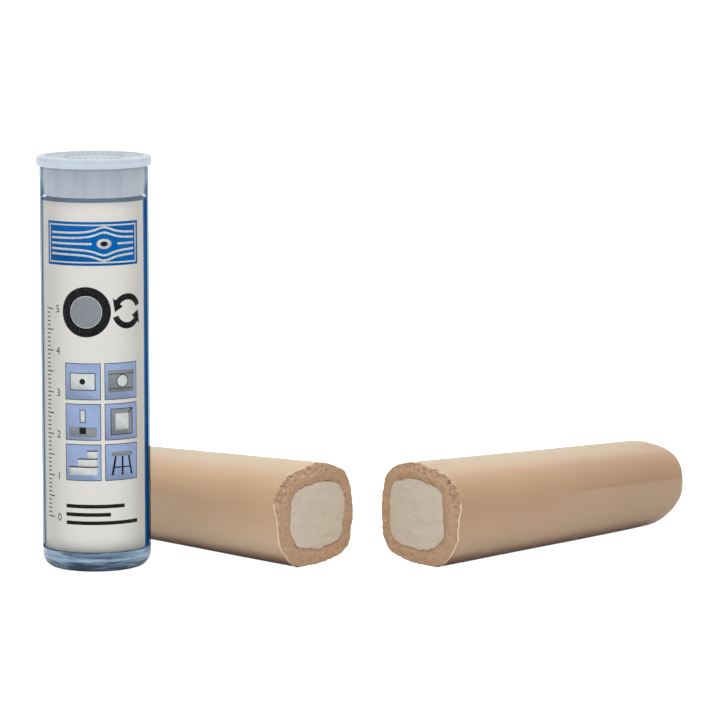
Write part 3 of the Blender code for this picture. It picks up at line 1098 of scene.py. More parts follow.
@dataclass
class FlatPrint:
    """Shapes of the print laid flat: to the right of the front's middle, and up from the label's foot.

    Each part of the print has a corner and a unit of its own. Lines and numbers are sized in millimetres.
    """

    left: float = 0.0
    low: float = 0.0
    unit: float = MM
    loops: dict[Ink, list[list[Point2]]] = field(default_factory=by_ink)
    meshes: dict[Ink, list[Mesh]] = field(default_factory=by_ink)

    def spot(self, right: float, up: float) -> Point2:
        """Return a place of this part in metres."""
        return self.left + right * self.unit, self.low + up * self.unit

    def polygon(self, ink: Ink, points: Sequence[Point2]) -> None:
        """Add an outline, turned to face out."""
        area = sum(a[0] * b[1] - b[0] * a[1] for a, b in zip(points, [*points[1:], points[0]]))
        self.loops[ink].append([self.spot(*point) for point in points][:: 1 if area > 0 else -1])

    def rect(self, ink: Ink, left: float, low: float, width: float, height: float) -> None:
        """Add a filled rectangle."""
        right, high = left + width, low + height
        self.polygon(ink, [(left, low), (right, low), (right, high), (left, high)])

    def frame(self, ink: Ink, left: float, low: float, width: float, height: float, line: float) -> None:
        """Add the outline of a rectangle.

        Args:
            ink: The ink.
            left: Its left edge.
            low: Its lower edge.
            width: Its width.
            height: Its height.
            line: Width of the line.
        """
        line *= MM / self.unit
        for up in (low, low + height - line):
            self.rect(ink, left, up, width, line)
        for right in (left, left + width - line):
            self.rect(ink, right, low + line, line, height - 2 * line)

    def bar(self, ink: Ink, start: Point2, end: Point2, line: float) -> None:
        """Add a straight line of a width.

        Args:
            ink: The ink.
            start: One end.
            end: The other end.
            line: Width of the line.
        """
        first, last = Vector(start), Vector(end)
        side = (last - first).orthogonal().normalized() * line * MM / self.unit / 2
        self.polygon(ink, [tuple(spot) for spot in (first - side, last - side, last + side, first + side)])

    def disc(self, ink: Ink, centre: Point2, radius: float, stretch: float = 1.0) -> None:
        """Add a disc, or an ellipse where it is stretched.

        Args:
            ink: The ink.
            centre: Its middle.
            radius: Its radius.
            stretch: How much wider than high it is.
        """
        steps = [tau * step / 32 for step in range(32)]
        wide = radius * stretch
        self.polygon(ink, [(centre[0] + wide * cos(a), centre[1] + radius * sin(a)) for a in steps])

    def ring(
        self, ink: Ink, centre: Point2, radius: float, line: float, start: float = 0.0, end: float = 360.0
    ) -> None:
        """Add a ring, or the part of one between two angles in degrees.

        Args:
            ink: The ink.
            centre: Its middle.
            radius: Its radius.
            line: Width of the line.
            start: Angle where it starts.
            end: Angle where it ends.
        """
        outer = arc(centre, radius, start, end, 40)
        inner = arc(centre, radius - line * MM / self.unit, start, end, 40)
        for step in range(40):
            self.polygon(ink, [outer[step], outer[step + 1], inner[step + 1], inner[step]])

    def number(self, ink: Ink, value: int, place: Point2, size: float) -> None:
        """Add a plain number, centred on a place.

        Args:
            ink: The ink.
            value: The number.
            place: Its middle.
            size: Size of its figures.
        """
        text = bpy.data.curves.new(f"number_{value}", "FONT")
        text.body = str(value)
        text.size = size * MM
        text.align_x = text.align_y = "CENTER"
        holder = bpy.data.objects.new(f"number_{value}", text)
        bpy.context.scene.collection.objects.link(holder)
        graph = bpy.context.evaluated_depsgraph_get()
        mesh = bpy.data.meshes.new_from_object(holder.evaluated_get(graph))
        bpy.data.objects.remove(holder, do_unlink=True)
        self.meshes[ink].append(shifted(mesh, (*self.spot(*place), 0.0)))

    def rolled(self, ink: Ink, radius: float, foot: float, strip: float) -> Piece:
        """Roll one ink's shapes round the label.

        Args:
            ink: The ink to roll.
            radius: Radius of the ink's face.
            foot: Height of the label's foot.
            strip: Widest strip that stays flat.

        Returns:
            The rolled print of that ink.
        """
        flat = bmesh.new()
        for loop in self.loops[ink]:
            flat.faces.new([flat.verts.new((right, up, 0.0)) for right, up in loop])
        for mesh in self.meshes[ink]:
            flat.from_mesh(mesh)
        for face in flat.faces:
            face.material_index = 0
        bmesh.ops.triangulate(flat, faces=flat.faces)
        last = int(max(abs(corner.co.x) for corner in flat.verts) / strip)
        for step in range(-last, last + 1):
            everything = flat.verts[:] + flat.edges[:] + flat.faces[:]
            bmesh.ops.bisect_plane(flat, geom=everything, plane_co=(step * strip, 0, 0), plane_no=(1, 0, 0))
        for corner in flat.verts:
            angle = corner.co.x / radius
            corner.co = Vector((radius * sin(angle), -radius * cos(angle), foot + corner.co.y))
        mesh = bpy.data.meshes.new(f"print_{ink.name.lower()}")
        settle(flat, mesh)
        return add_mesh(mesh.name, mesh)


@dataclass
class RolledLabel:
    """The printed paper, rolled inside the tube with its ends lapped at the back."""

    thickness: float = 0.15 * MM
    visual_growth: float = 0.24 * MM
    lap_angle: float = radians(24.0)
    step_angle: float = radians(20.0)
    lap_step: float = 0.35 * MM
    steps: int = 260
    rises: int = 24
    ink_lift: float = 0.012 * MM
    ink_thickness: float = 0.006 * MM
    strip: float = 0.6 * MM
    tick_pitch: float = 1.0 * MM
    tick_count: int = 51
    tick_line: float = 0.26 * MM
    tick_short: float = 1.3 * MM
    tick_long: float = 2.4 * MM
    tile: float = 8.8 * MM
    tile_gap: float = 0.9 * MM
    tile_corner: Point2 = (-6.8 * MM, 36.6 * MM)

    def __post_init__(self) -> None:
        """Read the label's place from the frame."""
        low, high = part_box("label_insert")
        self.radius = high.x + self.visual_growth
        self.foot = low.z
        self.height = high.z - low.z

    def sheet(self) -> Piece:
        """Return the paper as one sheet with a thickness, its lapped end stepping inwards.

        Returns:
            The paper.
        """
        swept = np.linspace(0.0, tau + self.lap_angle, self.steps + 1)
        radius = self.radius - self.lap_step * smooth_step(tau - self.step_angle, tau, swept)
        angle = pi / 2 - self.lap_angle / 2 + swept
        heights = np.linspace(self.foot, self.foot + self.height, self.rises + 1)
        rows = stacked(radius * np.cos(angle), radius * np.sin(angle), heights[:, None])
        index = np.arange(rows[..., 0].size).reshape(rows.shape[:2])
        quads = np.stack([index[:-1, :-1], index[:-1, 1:], index[1:, 1:], index[1:, :-1]], axis=-1)
        mesh = bpy.data.meshes.new("label_sheet")
        mesh.from_pydata(rows.reshape(-1, 3).tolist(), [], quads.reshape(-1, 4).tolist())
        mesh.shade_smooth()
        return thicken(add_mesh("label_sheet", mesh), self.thickness, 1)

    def ticks(self) -> Mesh:
        """Return the ruler's ticks as a flat strip, a long one at every fifth.

        Returns:
            The ticks as one flat mesh.
        """
        sizes = {"Count": self.tick_count, "Pitch": self.tick_pitch, "Line": self.tick_line}
        sizes |= {"Short": self.tick_short, "Long": self.tick_long}
        recipe = Recipe("ruler_ticks", Ink.BLACK.finish(), **sizes)
        wires, add, entry = recipe.wires, recipe.add, recipe.entry
        step = add("ShaderNodeCombineXYZ", {"Y": entry["Pitch"]})
        column = add("GeometryNodeMeshLine", {"Count": entry["Count"], "Offset": step})
        index = add("GeometryNodeInputIndex")
        fifth = wires.math("LESS_THAN", wires.math("MODULO", index, 5.0), 0.5)
        extra = wires.times(wires.math("SUBTRACT", entry["Long"], entry["Short"]), fifth)
        width = wires.math("ADD", entry["Short"], extra)
        shape = add("ShaderNodeCombineXYZ", {"X": width, "Y": entry["Line"], "Z": 1.0})
        unit = {"Size X": 1.0, "Size Y": 1.0, "Vertices X": 2, "Vertices Y": 2}
        tick = add("GeometryNodeMeshGrid", unit)
        slid = add("GeometryNodeTransform", {"Geometry": tick, "Translation": (0.5, 0.0, 0.0)})
        placed = add("GeometryNodeInstanceOnPoints", {"Points": column, "Instance": slid, "Scale": shape})
        return recipe.grow("ruler_ticks", placed)

    def scale_strip(self, flat: FlatPrint, left: float, low: float) -> None:
        """Lay out the ruler with a plain number at every tenth tick.

        Args:
            flat: The flat print to draw on.
            left: Left end of the ticks.
            low: Height of the first tick.
        """
        flat.meshes[Ink.BLACK].append(shifted(self.ticks(), (*flat.spot(left, low), 0.0)))
        for tenth in range(0, self.tick_count, 10):
            place = (left + 4.1, low + tenth * self.tick_pitch / flat.unit)
            flat.number(Ink.BLACK, tenth // 10, place, 2.6)

    def layout(self) -> FlatPrint:
        """Return the whole print: stripes, a grain band, two marks, tiles, a ruler and plain lines.

        Returns:
            The print, still flat.
        """
        flat = FlatPrint()
        for left, width in ((15.3, 6.1), (-22.0, 5.2)):
            flat.rect(Ink.BLUE, left, 0.0, width, self.height / flat.unit)
        self.grain_band(flat, -12.2, 68.6, 24.6, 10.4)
        self.section_mark(flat, (-1.4, 57.6), 6.0)
        self.turn_mark(flat, (9.0, 57.6), 4.2)
        pitch = self.tile + self.tile_gap
        drawings = (self.drawer, self.knot, self.dowel, self.picture_rail, self.steps_block, self.stool)
        for index, drawing in enumerate(drawings):
            left = self.tile_corner[0] + (index % 2) * pitch
            low = self.tile_corner[1] - (index // 2) * pitch
            tile = replace(flat, left=left, low=low, unit=self.tile)
            tile.rect(Ink.LILAC, 0.0, 0.0, 1.0, 1.0)
            tile.frame(Ink.BLACK, 0.0, 0.0, 1.0, 1.0, 0.16)
            drawing(tile)
        self.scale_strip(flat, -13.0, 8.0)
        for low, width in ((6.6, 18.5), (8.6, 11.0), (10.6, 14.6)):
            flat.rect(Ink.BLACK, -6.8, low, width, 0.9)
        return flat

    @staticmethod
    def grain_band(flat: FlatPrint, left: float, low: float, width: float, height: float) -> None:
        """Draw a blue band with white wood grain that bends round a knot.

        Args:
            flat: The flat print to draw on.
            left: Its left edge.
            low: Its lower edge.
            width: Its width.
            height: Its height.
        """
        flat.rect(Ink.BLUE, left, low, width, height)
        flat.frame(Ink.WHITE, left + 0.6, low + 0.6, width - 1.2, height - 1.2, 0.35)
        knot = (left + 0.62 * width, low + 0.5 * height)
        for line in range(-2, 3):
            points = []
            for step in range(25):
                right = left + 1.5 + (width - 3.0) * step / 24
                push = 1.5 / (1 + ((right - knot[0]) / 2.4) ** 2)
                points.append((right, knot[1] + line * 1.24 + np.sign(line) * push))
            for start, end in zip(points[:-1], points[1:]):
                if line or abs(start[0] - knot[0]) > 3.0:
                    flat.bar(Ink.WHITE, start, end, 0.5)
        flat.disc(Ink.WHITE, knot, 1.2, 1.5)
        flat.disc(Ink.BLACK, knot, 0.6, 1.5)

    @staticmethod
    def section_mark(flat: FlatPrint, centre: Point2, radius: float) -> None:
        """Draw the stick's cross-section as a bold ring round a pale core."""
        flat.disc(Ink.GREY, centre, radius * 0.62)
        flat.ring(Ink.BLACK, centre, radius, radius * 0.36)

    @staticmethod
    def turn_mark(flat: FlatPrint, centre: Point2, radius: float) -> None:
        """Draw two bold arrows that chase each other, for kneading.

        Args:
            flat: The flat print to draw on.
            centre: Its middle.
            radius: Its radius.
        """
        middle = radius - 0.75
        for start in (20, 200):
            end, tip = start + 120, start + 162
            flat.ring(Ink.BLACK, centre, radius, 1.5, start, end)
            ways = ((middle - 1.7, end), (middle + 1.7, end), (middle, tip))
            flat.polygon(Ink.BLACK, [arc(centre, reach, turn, turn)[0] for reach, turn in ways])

    @staticmethod
    def drawer(tile: FlatPrint) -> None:
        """Draw a drawer front with a round knob.

        Args:
            tile: The tile to draw on.
        """
        front = (0.14, 0.26, 0.72, 0.48)
        tile.rect(Ink.WHITE, *front)
        tile.frame(Ink.BLACK, *front, 0.2)
        tile.frame(Ink.GREY, 0.21, 0.33, 0.58, 0.34, 0.25)
        tile.disc(Ink.BLACK, (0.5, 0.5), 0.08)

    @staticmethod
    def knot(tile: FlatPrint) -> None:
        """Draw a board with a filled knot.

        Args:
            tile: The tile to draw on.
        """
        tile.rect(Ink.GREY, 0.1, 0.2, 0.8, 0.6)
        for level in (0.3, 0.7):
            tile.bar(Ink.BLACK, (0.1, level), (0.9, level), 0.15)
        tile.disc(Ink.WHITE, (0.52, 0.5), 0.16)
        tile.ring(Ink.BLACK, (0.52, 0.5), 0.18, 0.2)

    @staticmethod
    def dowel(tile: FlatPrint) -> None:
        """Draw a dowel above its hole.

        Args:
            tile: The tile to draw on.
        """
        peg = (0.42, 0.48, 0.16, 0.36)
        tile.rect(Ink.GREY, 0.12, 0.1, 0.76, 0.26)
        tile.rect(Ink.BLACK, 0.41, 0.18, 0.18, 0.18)
        tile.rect(Ink.WHITE, *peg)
        tile.frame(Ink.BLACK, *peg, 0.18)

    @staticmethod
    def picture_rail(tile: FlatPrint) -> None:
        """Draw an empty picture frame with a mended corner.

        Args:
            tile: The tile to draw on.
        """
        wood = (0.16, 0.14, 0.68, 0.72)
        tile.rect(Ink.GREY, *wood)
        tile.rect(Ink.WHITE, 0.3, 0.28, 0.4, 0.44)
        tile.bar(Ink.BLACK, (0.7, 0.72), (0.84, 0.86), 0.3)
        tile.frame(Ink.BLACK, *wood, 0.18)

    @staticmethod
    def steps_block(tile: FlatPrint) -> None:
        """Draw three stair treads.

        Args:
            tile: The tile to draw on.
        """
        for step in range(3):
            left, low = 0.1 + 0.26 * step, 0.16 + 0.22 * step
            tile.rect(Ink.WHITE, left, low, 0.9 - left, 0.22)
            tile.bar(Ink.BLACK, (left, low + 0.22), (0.9, low + 0.22), 0.3)

    @staticmethod
    def stool(tile: FlatPrint) -> None:
        """Draw a three-legged stool.

        Args:
            tile: The tile to draw on.
        """
        tile.rect(Ink.GREY, 0.18, 0.66, 0.64, 0.12)
        for foot, head in ((0.2, 0.3), (0.5, 0.5), (0.8, 0.7)):
            tile.bar(Ink.BLACK, (foot, 0.14), (head, 0.66), 0.5)
        tile.bar(Ink.BLACK, (0.25, 0.36), (0.75, 0.36), 0.3)

    def build(self) -> None:
        """Build and dress the paper and its inks."""
        # The paper's back is painted dark steel blue: painted shade inside the tube.
        shaded_back_tones = {"tone": surface_colour(126, 144, 161), "fleck": surface_colour(116, 134, 151)}
        back = LabelPaper(name="label_back_painted_shade", **shaded_back_tones)
        dress(self.sheet(), "tube", "label_insert", LabelPaper(), back, shades=False)
        flat = self.layout()
        for layer, ink in enumerate(Ink, 1):
            rolled = flat.rolled(ink, self.radius + self.ink_lift * layer, self.foot, self.strip)
            dress(thicken(rolled, self.ink_thickness), "tube", None, ink.finish(), shades=False)


@dataclass
class PuttyBar:
    """The soft-cornered bar that a stick's film, resin and core are the layers of.

    Local places are (along, across, up): along from the near end, up from the middle of the section.
    """

    origin: Vector
    along: Vector
    across: Vector
    upward: Vector
    length: float
    near: Point2
    far: Point2
    end_round: float
    seed: float
    roll: float = 0.0
    roll_reach: float = 8.0 * MM
    top_power: float = 2.0
    low_power: float = 2.0
    far_low_power: float = 2.0
    back_squarer: float = 0.0
    back_rolled: float = 1.0
    heel: float = 0.0
    heel_turn: float = radians(-22.0)
    heel_width: float = radians(15.0)
    heel_reach: float = 24.0 * MM
    recede: float = 0.0
    recede_from: float = 0.8
    tuck: float = 0.0
    rest_flat: float = 0.0
    around: int = 288
    body_steps: int = 46
    rim_steps: int = 30
    rim_reach: float = 9.0 * MM
    end_steps: int = 12
    wave: float = 0.14 * MM
    wave_grain: float = 24.0 * MM
    jag: float = 0.3 * MM
    jag_grain: float = 3.2 * MM
    jag_reach: float = 2.6 * MM

    def __post_init__(self) -> None:
        """Work out the angles round the section and the stations along the bar."""
        self.angle = np.linspace(0.0, tau, self.around, endpoint=False)
        rim = self.rim_reach * np.linspace(0.0, 1.0, self.rim_steps, endpoint=False) ** 1.3
        body = np.linspace(self.rim_reach, self.length - self.end_round, self.body_steps)
        self.stations = np.concatenate([rim, body])

    def half_sizes(self, along: Rows) -> tuple[Rows, Rows]:
        """Return the half width and half height at places along the bar.

        Args:
            along: Places along the bar.

        Returns:
            The half widths and the half heights.
        """
        share = np.asarray(along) / self.length
        width, height = (near + (far - near) * share for near, far in zip(self.near, self.far))
        return width, height

    def unit_section(self, along: Rows, squarer: float = 0.0, rolled: float = 1.0) -> tuple[Rows, Rows]:
        """Return the section's shape, rolled and fitted to half sizes of 1.

        Args:
            along: Places along the bar.
            squarer: Added to the shape's power.
            rolled: Share of the bar's roll that the shape takes.

        Returns:
            The places across and up, one row for each place along.
        """
        run = np.asarray(along)[:, None]
        low = self.low_power + (self.far_low_power - self.low_power) * run / self.length
        back = smooth_step(0.2, 0.7, -np.cos(self.angle))
        power = squarer + low + (self.top_power - low) * smooth_step(-0.4, 0.4, np.sin(self.angle))
        power = power + self.back_squarer * back
        rolled = rolled * (1 + (self.back_rolled - 1) * back)
        turn = self.angle - rolled * self.roll * (1 + np.exp(-run / self.roll_reach))
        reach = (np.abs(np.cos(turn)) ** power + np.abs(np.sin(turn)) ** power) ** (-1 / power)
        off_heel = wrapped(self.angle - self.heel_turn) / self.heel_width
        reach = reach * (1 + self.heel * np.exp(-run / self.heel_reach) * np.exp(-(off_heel ** 2)))
        rise = self.fitted(reach * np.sin(self.angle))
        tucked = 1 - self.tuck * run / self.length
        return self.fitted(reach * np.cos(self.angle)), np.where(rise < 0, rise * tucked, rise)

    @staticmethod
    def fitted(rows: Rows) -> Rows:
        """Return rows of values, each scaled to reach from -1 to 1.

        Args:
            rows: Rows of values on both sides of 0.

        Returns:
            The scaled rows.
        """
        high = rows.max(axis=1, keepdims=True)
        low = -rows.min(axis=1, keepdims=True)
        return np.where(rows > 0, rows / high, rows / low)

    def cloud(self, spots: Rows, grain: float, shift: float, octaves: int = 3) -> Rows:
        """Sample the bar's own noise at points, shifted to another part of it."""
        return cloud(spots, grain, self.seed + shift, octaves)

    def section(self, along: Rows, inset: Rows | float) -> Rows:
        """Return the section's smooth outline at places along the bar, set in from the bar's skin.

        Args:
            along: Places along the bar.
            inset: How far inside the bar's skin.

        Returns:
            Local places, one row for each ring.
        """
        width, height = self.half_sizes(along)
        unit_side, unit_rise = self.unit_section(along)
        side = (width - inset)[:, None] * unit_side
        return stacked(along[:, None], side, (height - inset)[:, None] * unit_rise)

    def hollows(self, along: Rows) -> Rows:
        """Return how far the skin stands out at places along the bar: waves and a ragged cut rim.

        Args:
            along: Places along the bar.

        Returns:
            The distance out at each point of each ring.
        """
        spots = self.section(along, 0.0)
        out = self.wave * (self.cloud(spots * np.array([0.5, 1.0, 1.0]), self.wave_grain, 0, 1) - 0.1)
        fade = np.exp(-along / self.jag_reach)[:, None]
        return out + self.jag * fade * (self.cloud(spots * ACROSS, self.jag_grain, 2, 2) - 0.2)

    def pushed(self, rows: Rows, out: Rows) -> Rows:
        """Return rows with their points moved out from the middle of the section."""
        return rows + stacked(0.0, out * np.cos(self.angle), out * np.sin(self.angle))

    def ring(self, along: Rows, inset: Rows, depth: float, out: Rows) -> Rows:
        """Return section rings.

        Args:
            along: Places of the rings along the bar.
            inset: How far each ring lies inside the bar's skin.
            depth: Depth of the layer, which rests that far above the table.
            out: How far the skin stands out at each point.

        Returns:
            Local places, one row for each ring.
        """
        return self.rested(self.pushed(self.section(along, inset), out), depth)

    def rested(self, rows: Rows, depth: float) -> Rows:
        """Return the rows of a layer with its underside flattened by the table.

        Args:
            rows: Local places, one row for each ring.
            depth: Depth of the layer under the bar's skin.

        Returns:
            The flattened rows.
        """
        settled = rows.copy()
        if self.rest_flat:
            height = self.half_sizes(rows[..., 0])[1]
            settled[..., 2] = np.maximum(rows[..., 2], depth - (height - self.rest_flat))
        return settled

    def flank(self, depth: float) -> Rows:
        """Return the rings of the layer's side and of its rounded far end.

        Args:
            depth: Depth of the layer under the bar's skin.

        Returns:
            Local places, one row for each ring.
        """
        depths = np.full_like(self.stations, depth)
        body = self.ring(self.stations, depths, depth, self.hollows(self.stations))
        radius = self.end_round - depth
        turn = np.linspace(pi / 2, 0.0, self.end_steps)[1:]
        run = self.length - self.end_round + radius * np.cos(turn)
        fade = np.sin(turn)[:, None]
        end = self.ring(run, depth + radius - radius * np.sin(turn), depth, self.hollows(run) * fade)
        return np.concatenate([body, end])

    def world(self, rows: Rows) -> Rows:
        """Move local places to where the bar lies, with its far end receding low down.

        Args:
            rows: Local places, one row for each ring.

        Returns:
            The same points in the frame.
        """
        height = self.half_sizes(rows[..., 0])[1]
        moved = rows.copy()
        low = smooth_step(0.0, 1.0, -rows[..., 2] / height)
        end = smooth_step(self.recede_from * self.length, self.length, rows[..., 0])
        moved[..., 0] -= self.recede * low * end
        if self.rest_flat:
            moved[..., 2] += height - self.rest_flat
        return np.array(self.origin) + moved @ np.array([self.along, self.across, self.upward])


class Side(Enum):
    """The two cut pieces: the seed of their irregularities, and how far aside and how high the core is."""

    LEFT = ("left", 3.0, 0.8 * MM, 0.9)
    RIGHT = ("right", 8.0, 1.1 * MM, 0.96)

    def resin(self) -> TanResin:
        """Return the piece's putty, whose skin is painted lighter on the left piece, as painted light where
        the tube shades it.

        Returns:
            The finish.
        """
        if self is Side.RIGHT:
            return TanResin()
        # The left piece's skin is painted lighter: painted light against the tube's shade.
        return TanResin(
            name="lit_left_tan_resin",
            flank=surface_colour(186, 154, 123),
            flank_dark=surface_colour(178, 146, 116),
            top_sheen=surface_colour(178, 152, 123),
            lap_and_bounce_light=surface_colour(192, 168, 142),
        )


@dataclass
class PuttyStick:
    """A stick of two-part putty: a core in a sheath, wrapped in film. One end may be cut open."""

    title: str
    body: str
    bar: PuttyBar
    is_cut: bool
    resin: TanResin = TanResin()
    film: float = 0.08 * MM
    film_gap: float = 0.06 * MM
    core_aside: float = 0.0
    core_rise: float = 1.0
    core_share: float = 0.7071
    core_gap: float = 0.05 * MM
    core_squarer: float = 0.0
    core_rolled: float = 0.35
    core_wobble: float = 0.8 * MM
    wobble_size: float = 6.0 * MM
    core_jag: float = 0.3 * MM
    core_jag_size: float = 1.4 * MM
    core_streak: float = 0.07 * MM
    streak_size: float = 1.3 * MM
    core_recess: float = 0.05 * MM
    core_rings: int = 24
    core_steps: int = 40
    set_in: float = 0.4 * MM
    face_steps: int = 34
    tear: float = 0.3 * MM
    tear_size: float = 3.4 * MM
    grain: float = 0.1 * MM
    grain_size: float = 0.8 * MM
    pit: float = 0.35 * MM
    pit_size: float = 1.15 * MM
    pit_level: float = 0.28
    tear_back: float = 1.3 * MM
    tear_back_size: float = 3.0 * MM
    tear_rough: float = 0.6 * MM
    tear_rough_size: float = 1.2 * MM
    torn: Sector = (-5.0, 35.0, 95.0, 130.0)
    deep: float = 0.4 * MM
    rim_fade: float = 6.0 * MM
    rim_tone: float = 0.9 * MM
    film_opening: float = 3.2 * MM
    pleats: int = 17
    pleat_rise: float = 0.22 * MM
    wander_size: float = 6.0 * MM
    gather_steps: int = 16
    whole: Sector = (-95.0, -75.0, 10.0, 28.0)
    edge_band: float = 0.6 * MM
    lip: float = 1.6 * MM
    flare: float = 0.2 * MM
    proud: float = 0.2 * MM
    torn_back: float = 0.5 * MM
    ragged: float = 0.08 * MM
    ragged_size: float = 1.6 * MM
    lap_top: float = radians(16.5)
    lap_width: float = radians(110.0)
    lap_span: Point2 = (0.35, 0.65)
    lap_rise: float = 0.05 * MM
    seam_width: float = 0.025
    fold_top: float = radians(75.0)
    fold_width: float = 0.14
    fold_length: float = 12.0 * MM
    # Span along the bar over which the painted shade grows.
    far_shade_span: Point2 = (0.3, 0.85)
    # Sector of the top facet that gets painted sheen.
    top_sheen: Sector = (50.0, 56.0, 125.0, 140.0)
    crumb_density: float = 1.8e6
    crumb_least: float = 0.06
    crumb_small: float = 0.1 * MM
    crumb_large: float = 0.38 * MM

    def __post_init__(self) -> None:
        """Work out the resin's depth under the film, and the shares of the way across the cut face."""
        self.depth = self.film + self.film_gap
        self.outward = np.linspace(0.0, 1.0, self.face_steps)[:, None]

    def core_wall(self, along: Rows, growth: float) -> Rows:
        """Return the core's rings at places along the bar, grown by a gap.

        Args:
            along: Places along the bar.
            growth: The gap.

        Returns:
            Local places, one row for each ring.
        """
        bar = self.bar
        width, height = bar.half_sizes(along)
        unit_side, unit_rise = bar.unit_section(along, self.core_squarer, self.core_rolled)
        side = (width - self.depth)[:, None] * self.core_share * unit_side
        rise = (height - self.depth)[:, None] * self.core_share * self.core_rise * unit_rise
        spots = stacked(along[:, None] * 0.4, side, rise)
        fade = np.exp(-along / self.rim_fade)[:, None]
        wobble = self.core_wobble * bar.cloud(spots, self.wobble_size, 4) + growth
        wobble = wobble + self.core_jag * fade * bar.cloud(spots, self.core_jag_size, 11, 2)
        rows = bar.pushed(stacked(along[:, None], side, rise), wobble)
        rows[..., 1] -= self.core_aside * (1 - along / bar.length)[:, None]
        return rows

    def torn_share(self) -> Rows:
        """Return where the cut tore the rim away, which is along the upper edge of the near flank."""
        return sector(self.bar.angle, self.torn)

    def whole_share(self) -> Rows:
        """Return where the film's cut edge is whole, which is down the near flank."""
        return sector(wrapped(self.bar.angle), self.whole)

    def roughness(self, rows: Rows, share: Rows | float) -> Rows:
        """Return the fine grain, pits and torn crumble of the cut face, as depths from its smooth shape.

        Args:
            rows: Places on the cut plane.
            share: How far out on the face each row lies, from 0 at the core to 1 at the rim.

        Returns:
            The depth at each place.
        """
        spots = rows * ACROSS
        depth = self.grain * self.bar.cloud(spots, self.grain_size, 6)
        pitted = self.bar.cloud(spots, self.pit_size, 7, 2) - self.pit_level
        depth += self.pit * np.maximum(pitted, 0.0)
        torn = self.torn_share() * smooth_step(0.3, 0.7, np.asarray(share))
        return depth + torn * self.tear_rough * self.bar.cloud(spots, self.tear_rough_size, 9)

    def relief(self, rows: Rows, share: Rows | float) -> Rows:
        """Return how far the cut face stands in from the cut plane, for the same places as its roughness.

        Args:
            rows: Places on the cut plane.
            share: How far out on the face each row lies, from 0 to 1.

        Returns:
            The depth at each place.
        """
        spots = rows * ACROSS
        depth = self.tear * self.bar.cloud(spots, self.tear_size, 5, 2)
        depth += self.set_in * (1 - smooth_step(0.0, 0.45, np.asarray(share)))
        torn = self.torn_share() * smooth_step(0.42, 1.0, np.asarray(share))
        uneven = 0.9 + 0.6 * self.bar.cloud(spots, self.tear_back_size, 8, 2)
        depth += torn * self.tear_back * uneven
        return depth + self.roughness(rows, share)

    def rim_relief(self) -> Rows:
        """Return the relief along the rim of the cut face.

        Returns:
            The depth at each point of the rim.
        """
        start = np.zeros(1)
        rim = self.bar.ring(start, start + self.depth, self.depth, self.bar.hollows(start))
        return self.relief(rim, 1.0)[0]

    def pulled_back(self, rows: Rows, rim: Rows) -> Rows:
        """Let a layer's side start at the rim, wherever the cut left it.

        Args:
            rows: Local places, one row for each ring.
            rim: How far in the rim is at each point.

        Returns:
            The moved rows.
        """
        moved = rows.copy()
        moved[..., 0] += rim * (1 - smooth_step(0.0, self.rim_fade, rows[..., 0]))
        return moved

    def face_rows(self, inner: Rows, outer: Rows) -> Rows:
        """Return rows across the ring between two outlines."""
        share = self.outward[..., None]
        return inner * (1 - share) + outer * share

    def sheath(self) -> tuple[Piece, Rows]:
        """Return the resin sheath and the rows of its near face.

        Returns:
            The sheath, and the face's places in the frame.
        """
        bar = self.bar
        flank = bar.flank(self.depth)
        hole = self.core_wall(np.array([0.0, bar.length - self.depth]), self.core_gap)
        face = self.face_rows(hole[0], flank[0])
        fine = np.zeros(face.shape[:2])
        if self.is_cut:
            fine = self.roughness(face, self.outward)
            face[..., 0] += self.relief(face, self.outward)
            flank = self.pulled_back(flank, face[-1, :, 0])
        far = self.face_rows(hole[1], flank[-1])[::-1]
        rows = np.concatenate([face, flank[1:], far[1:], face[:1] + np.array([1.0 * MM, 0, 0])])
        cut = np.zeros(rows.shape[:2])
        deep = np.zeros(rows.shape[:2])
        if self.is_cut:
            cut = 1 - smooth_step(0.0, self.rim_tone, rows[..., 0] - face[-1, :, 0])
            cut[: self.face_steps] = 1.0
            cut[-1] = 1.0
        # The deep mark paints shade where the cut face's fine relief is deepest.
        deep[: self.face_steps] = np.clip(fine / self.deep, 0.0, 1.0)
        marks = {"cut": cut, "deep": deep} | self.skin_marks(rows)
        return skinned(f"{self.title}_sheath", bar.world(rows), True, marks), bar.world(face)

    def skin_marks(self, rows: Rows) -> dict[str, Rows]:
        """Return where the skin has painted sheen on its top, lies under the film's lap (with painted bounce
        light), seam or fold, or has painted shade towards the far end.

        Args:
            rows: Local places, one row for each ring.

        Returns:
            The share of each mark at each place, by the mark's name.
        """
        length, along = self.bar.length, rows[..., 0]
        fold = smooth_step(length - self.fold_length, length - 0.6 * self.fold_length, along)
        off_fold = (self.bar.angle - self.fold_top) / self.fold_width
        return {
            "lap": self.lap_share(rows),
            "top_sheen": sector(self.bar.angle, self.top_sheen) * np.ones_like(along) * self.is_cut,
            "seam": self.lap_reach(rows) * np.exp(-((self.lap_turn() / self.seam_width) ** 2)),
            "fold": fold * np.exp(-(off_fold ** 2)),
            "far_shade": smooth_step(*[share * length for share in self.far_shade_span], along),
        }

    def lap_turn(self) -> Rows:
        """Return the angle round the section from the upper edge of the film's lap."""
        return wrapped(self.bar.angle - self.lap_top)

    def lap_reach(self, rows: Rows) -> Rows:
        """Return how clear the film's lap is, which fades towards the near end."""
        return smooth_step(*[share * self.bar.length for share in self.lap_span], rows[..., 0])

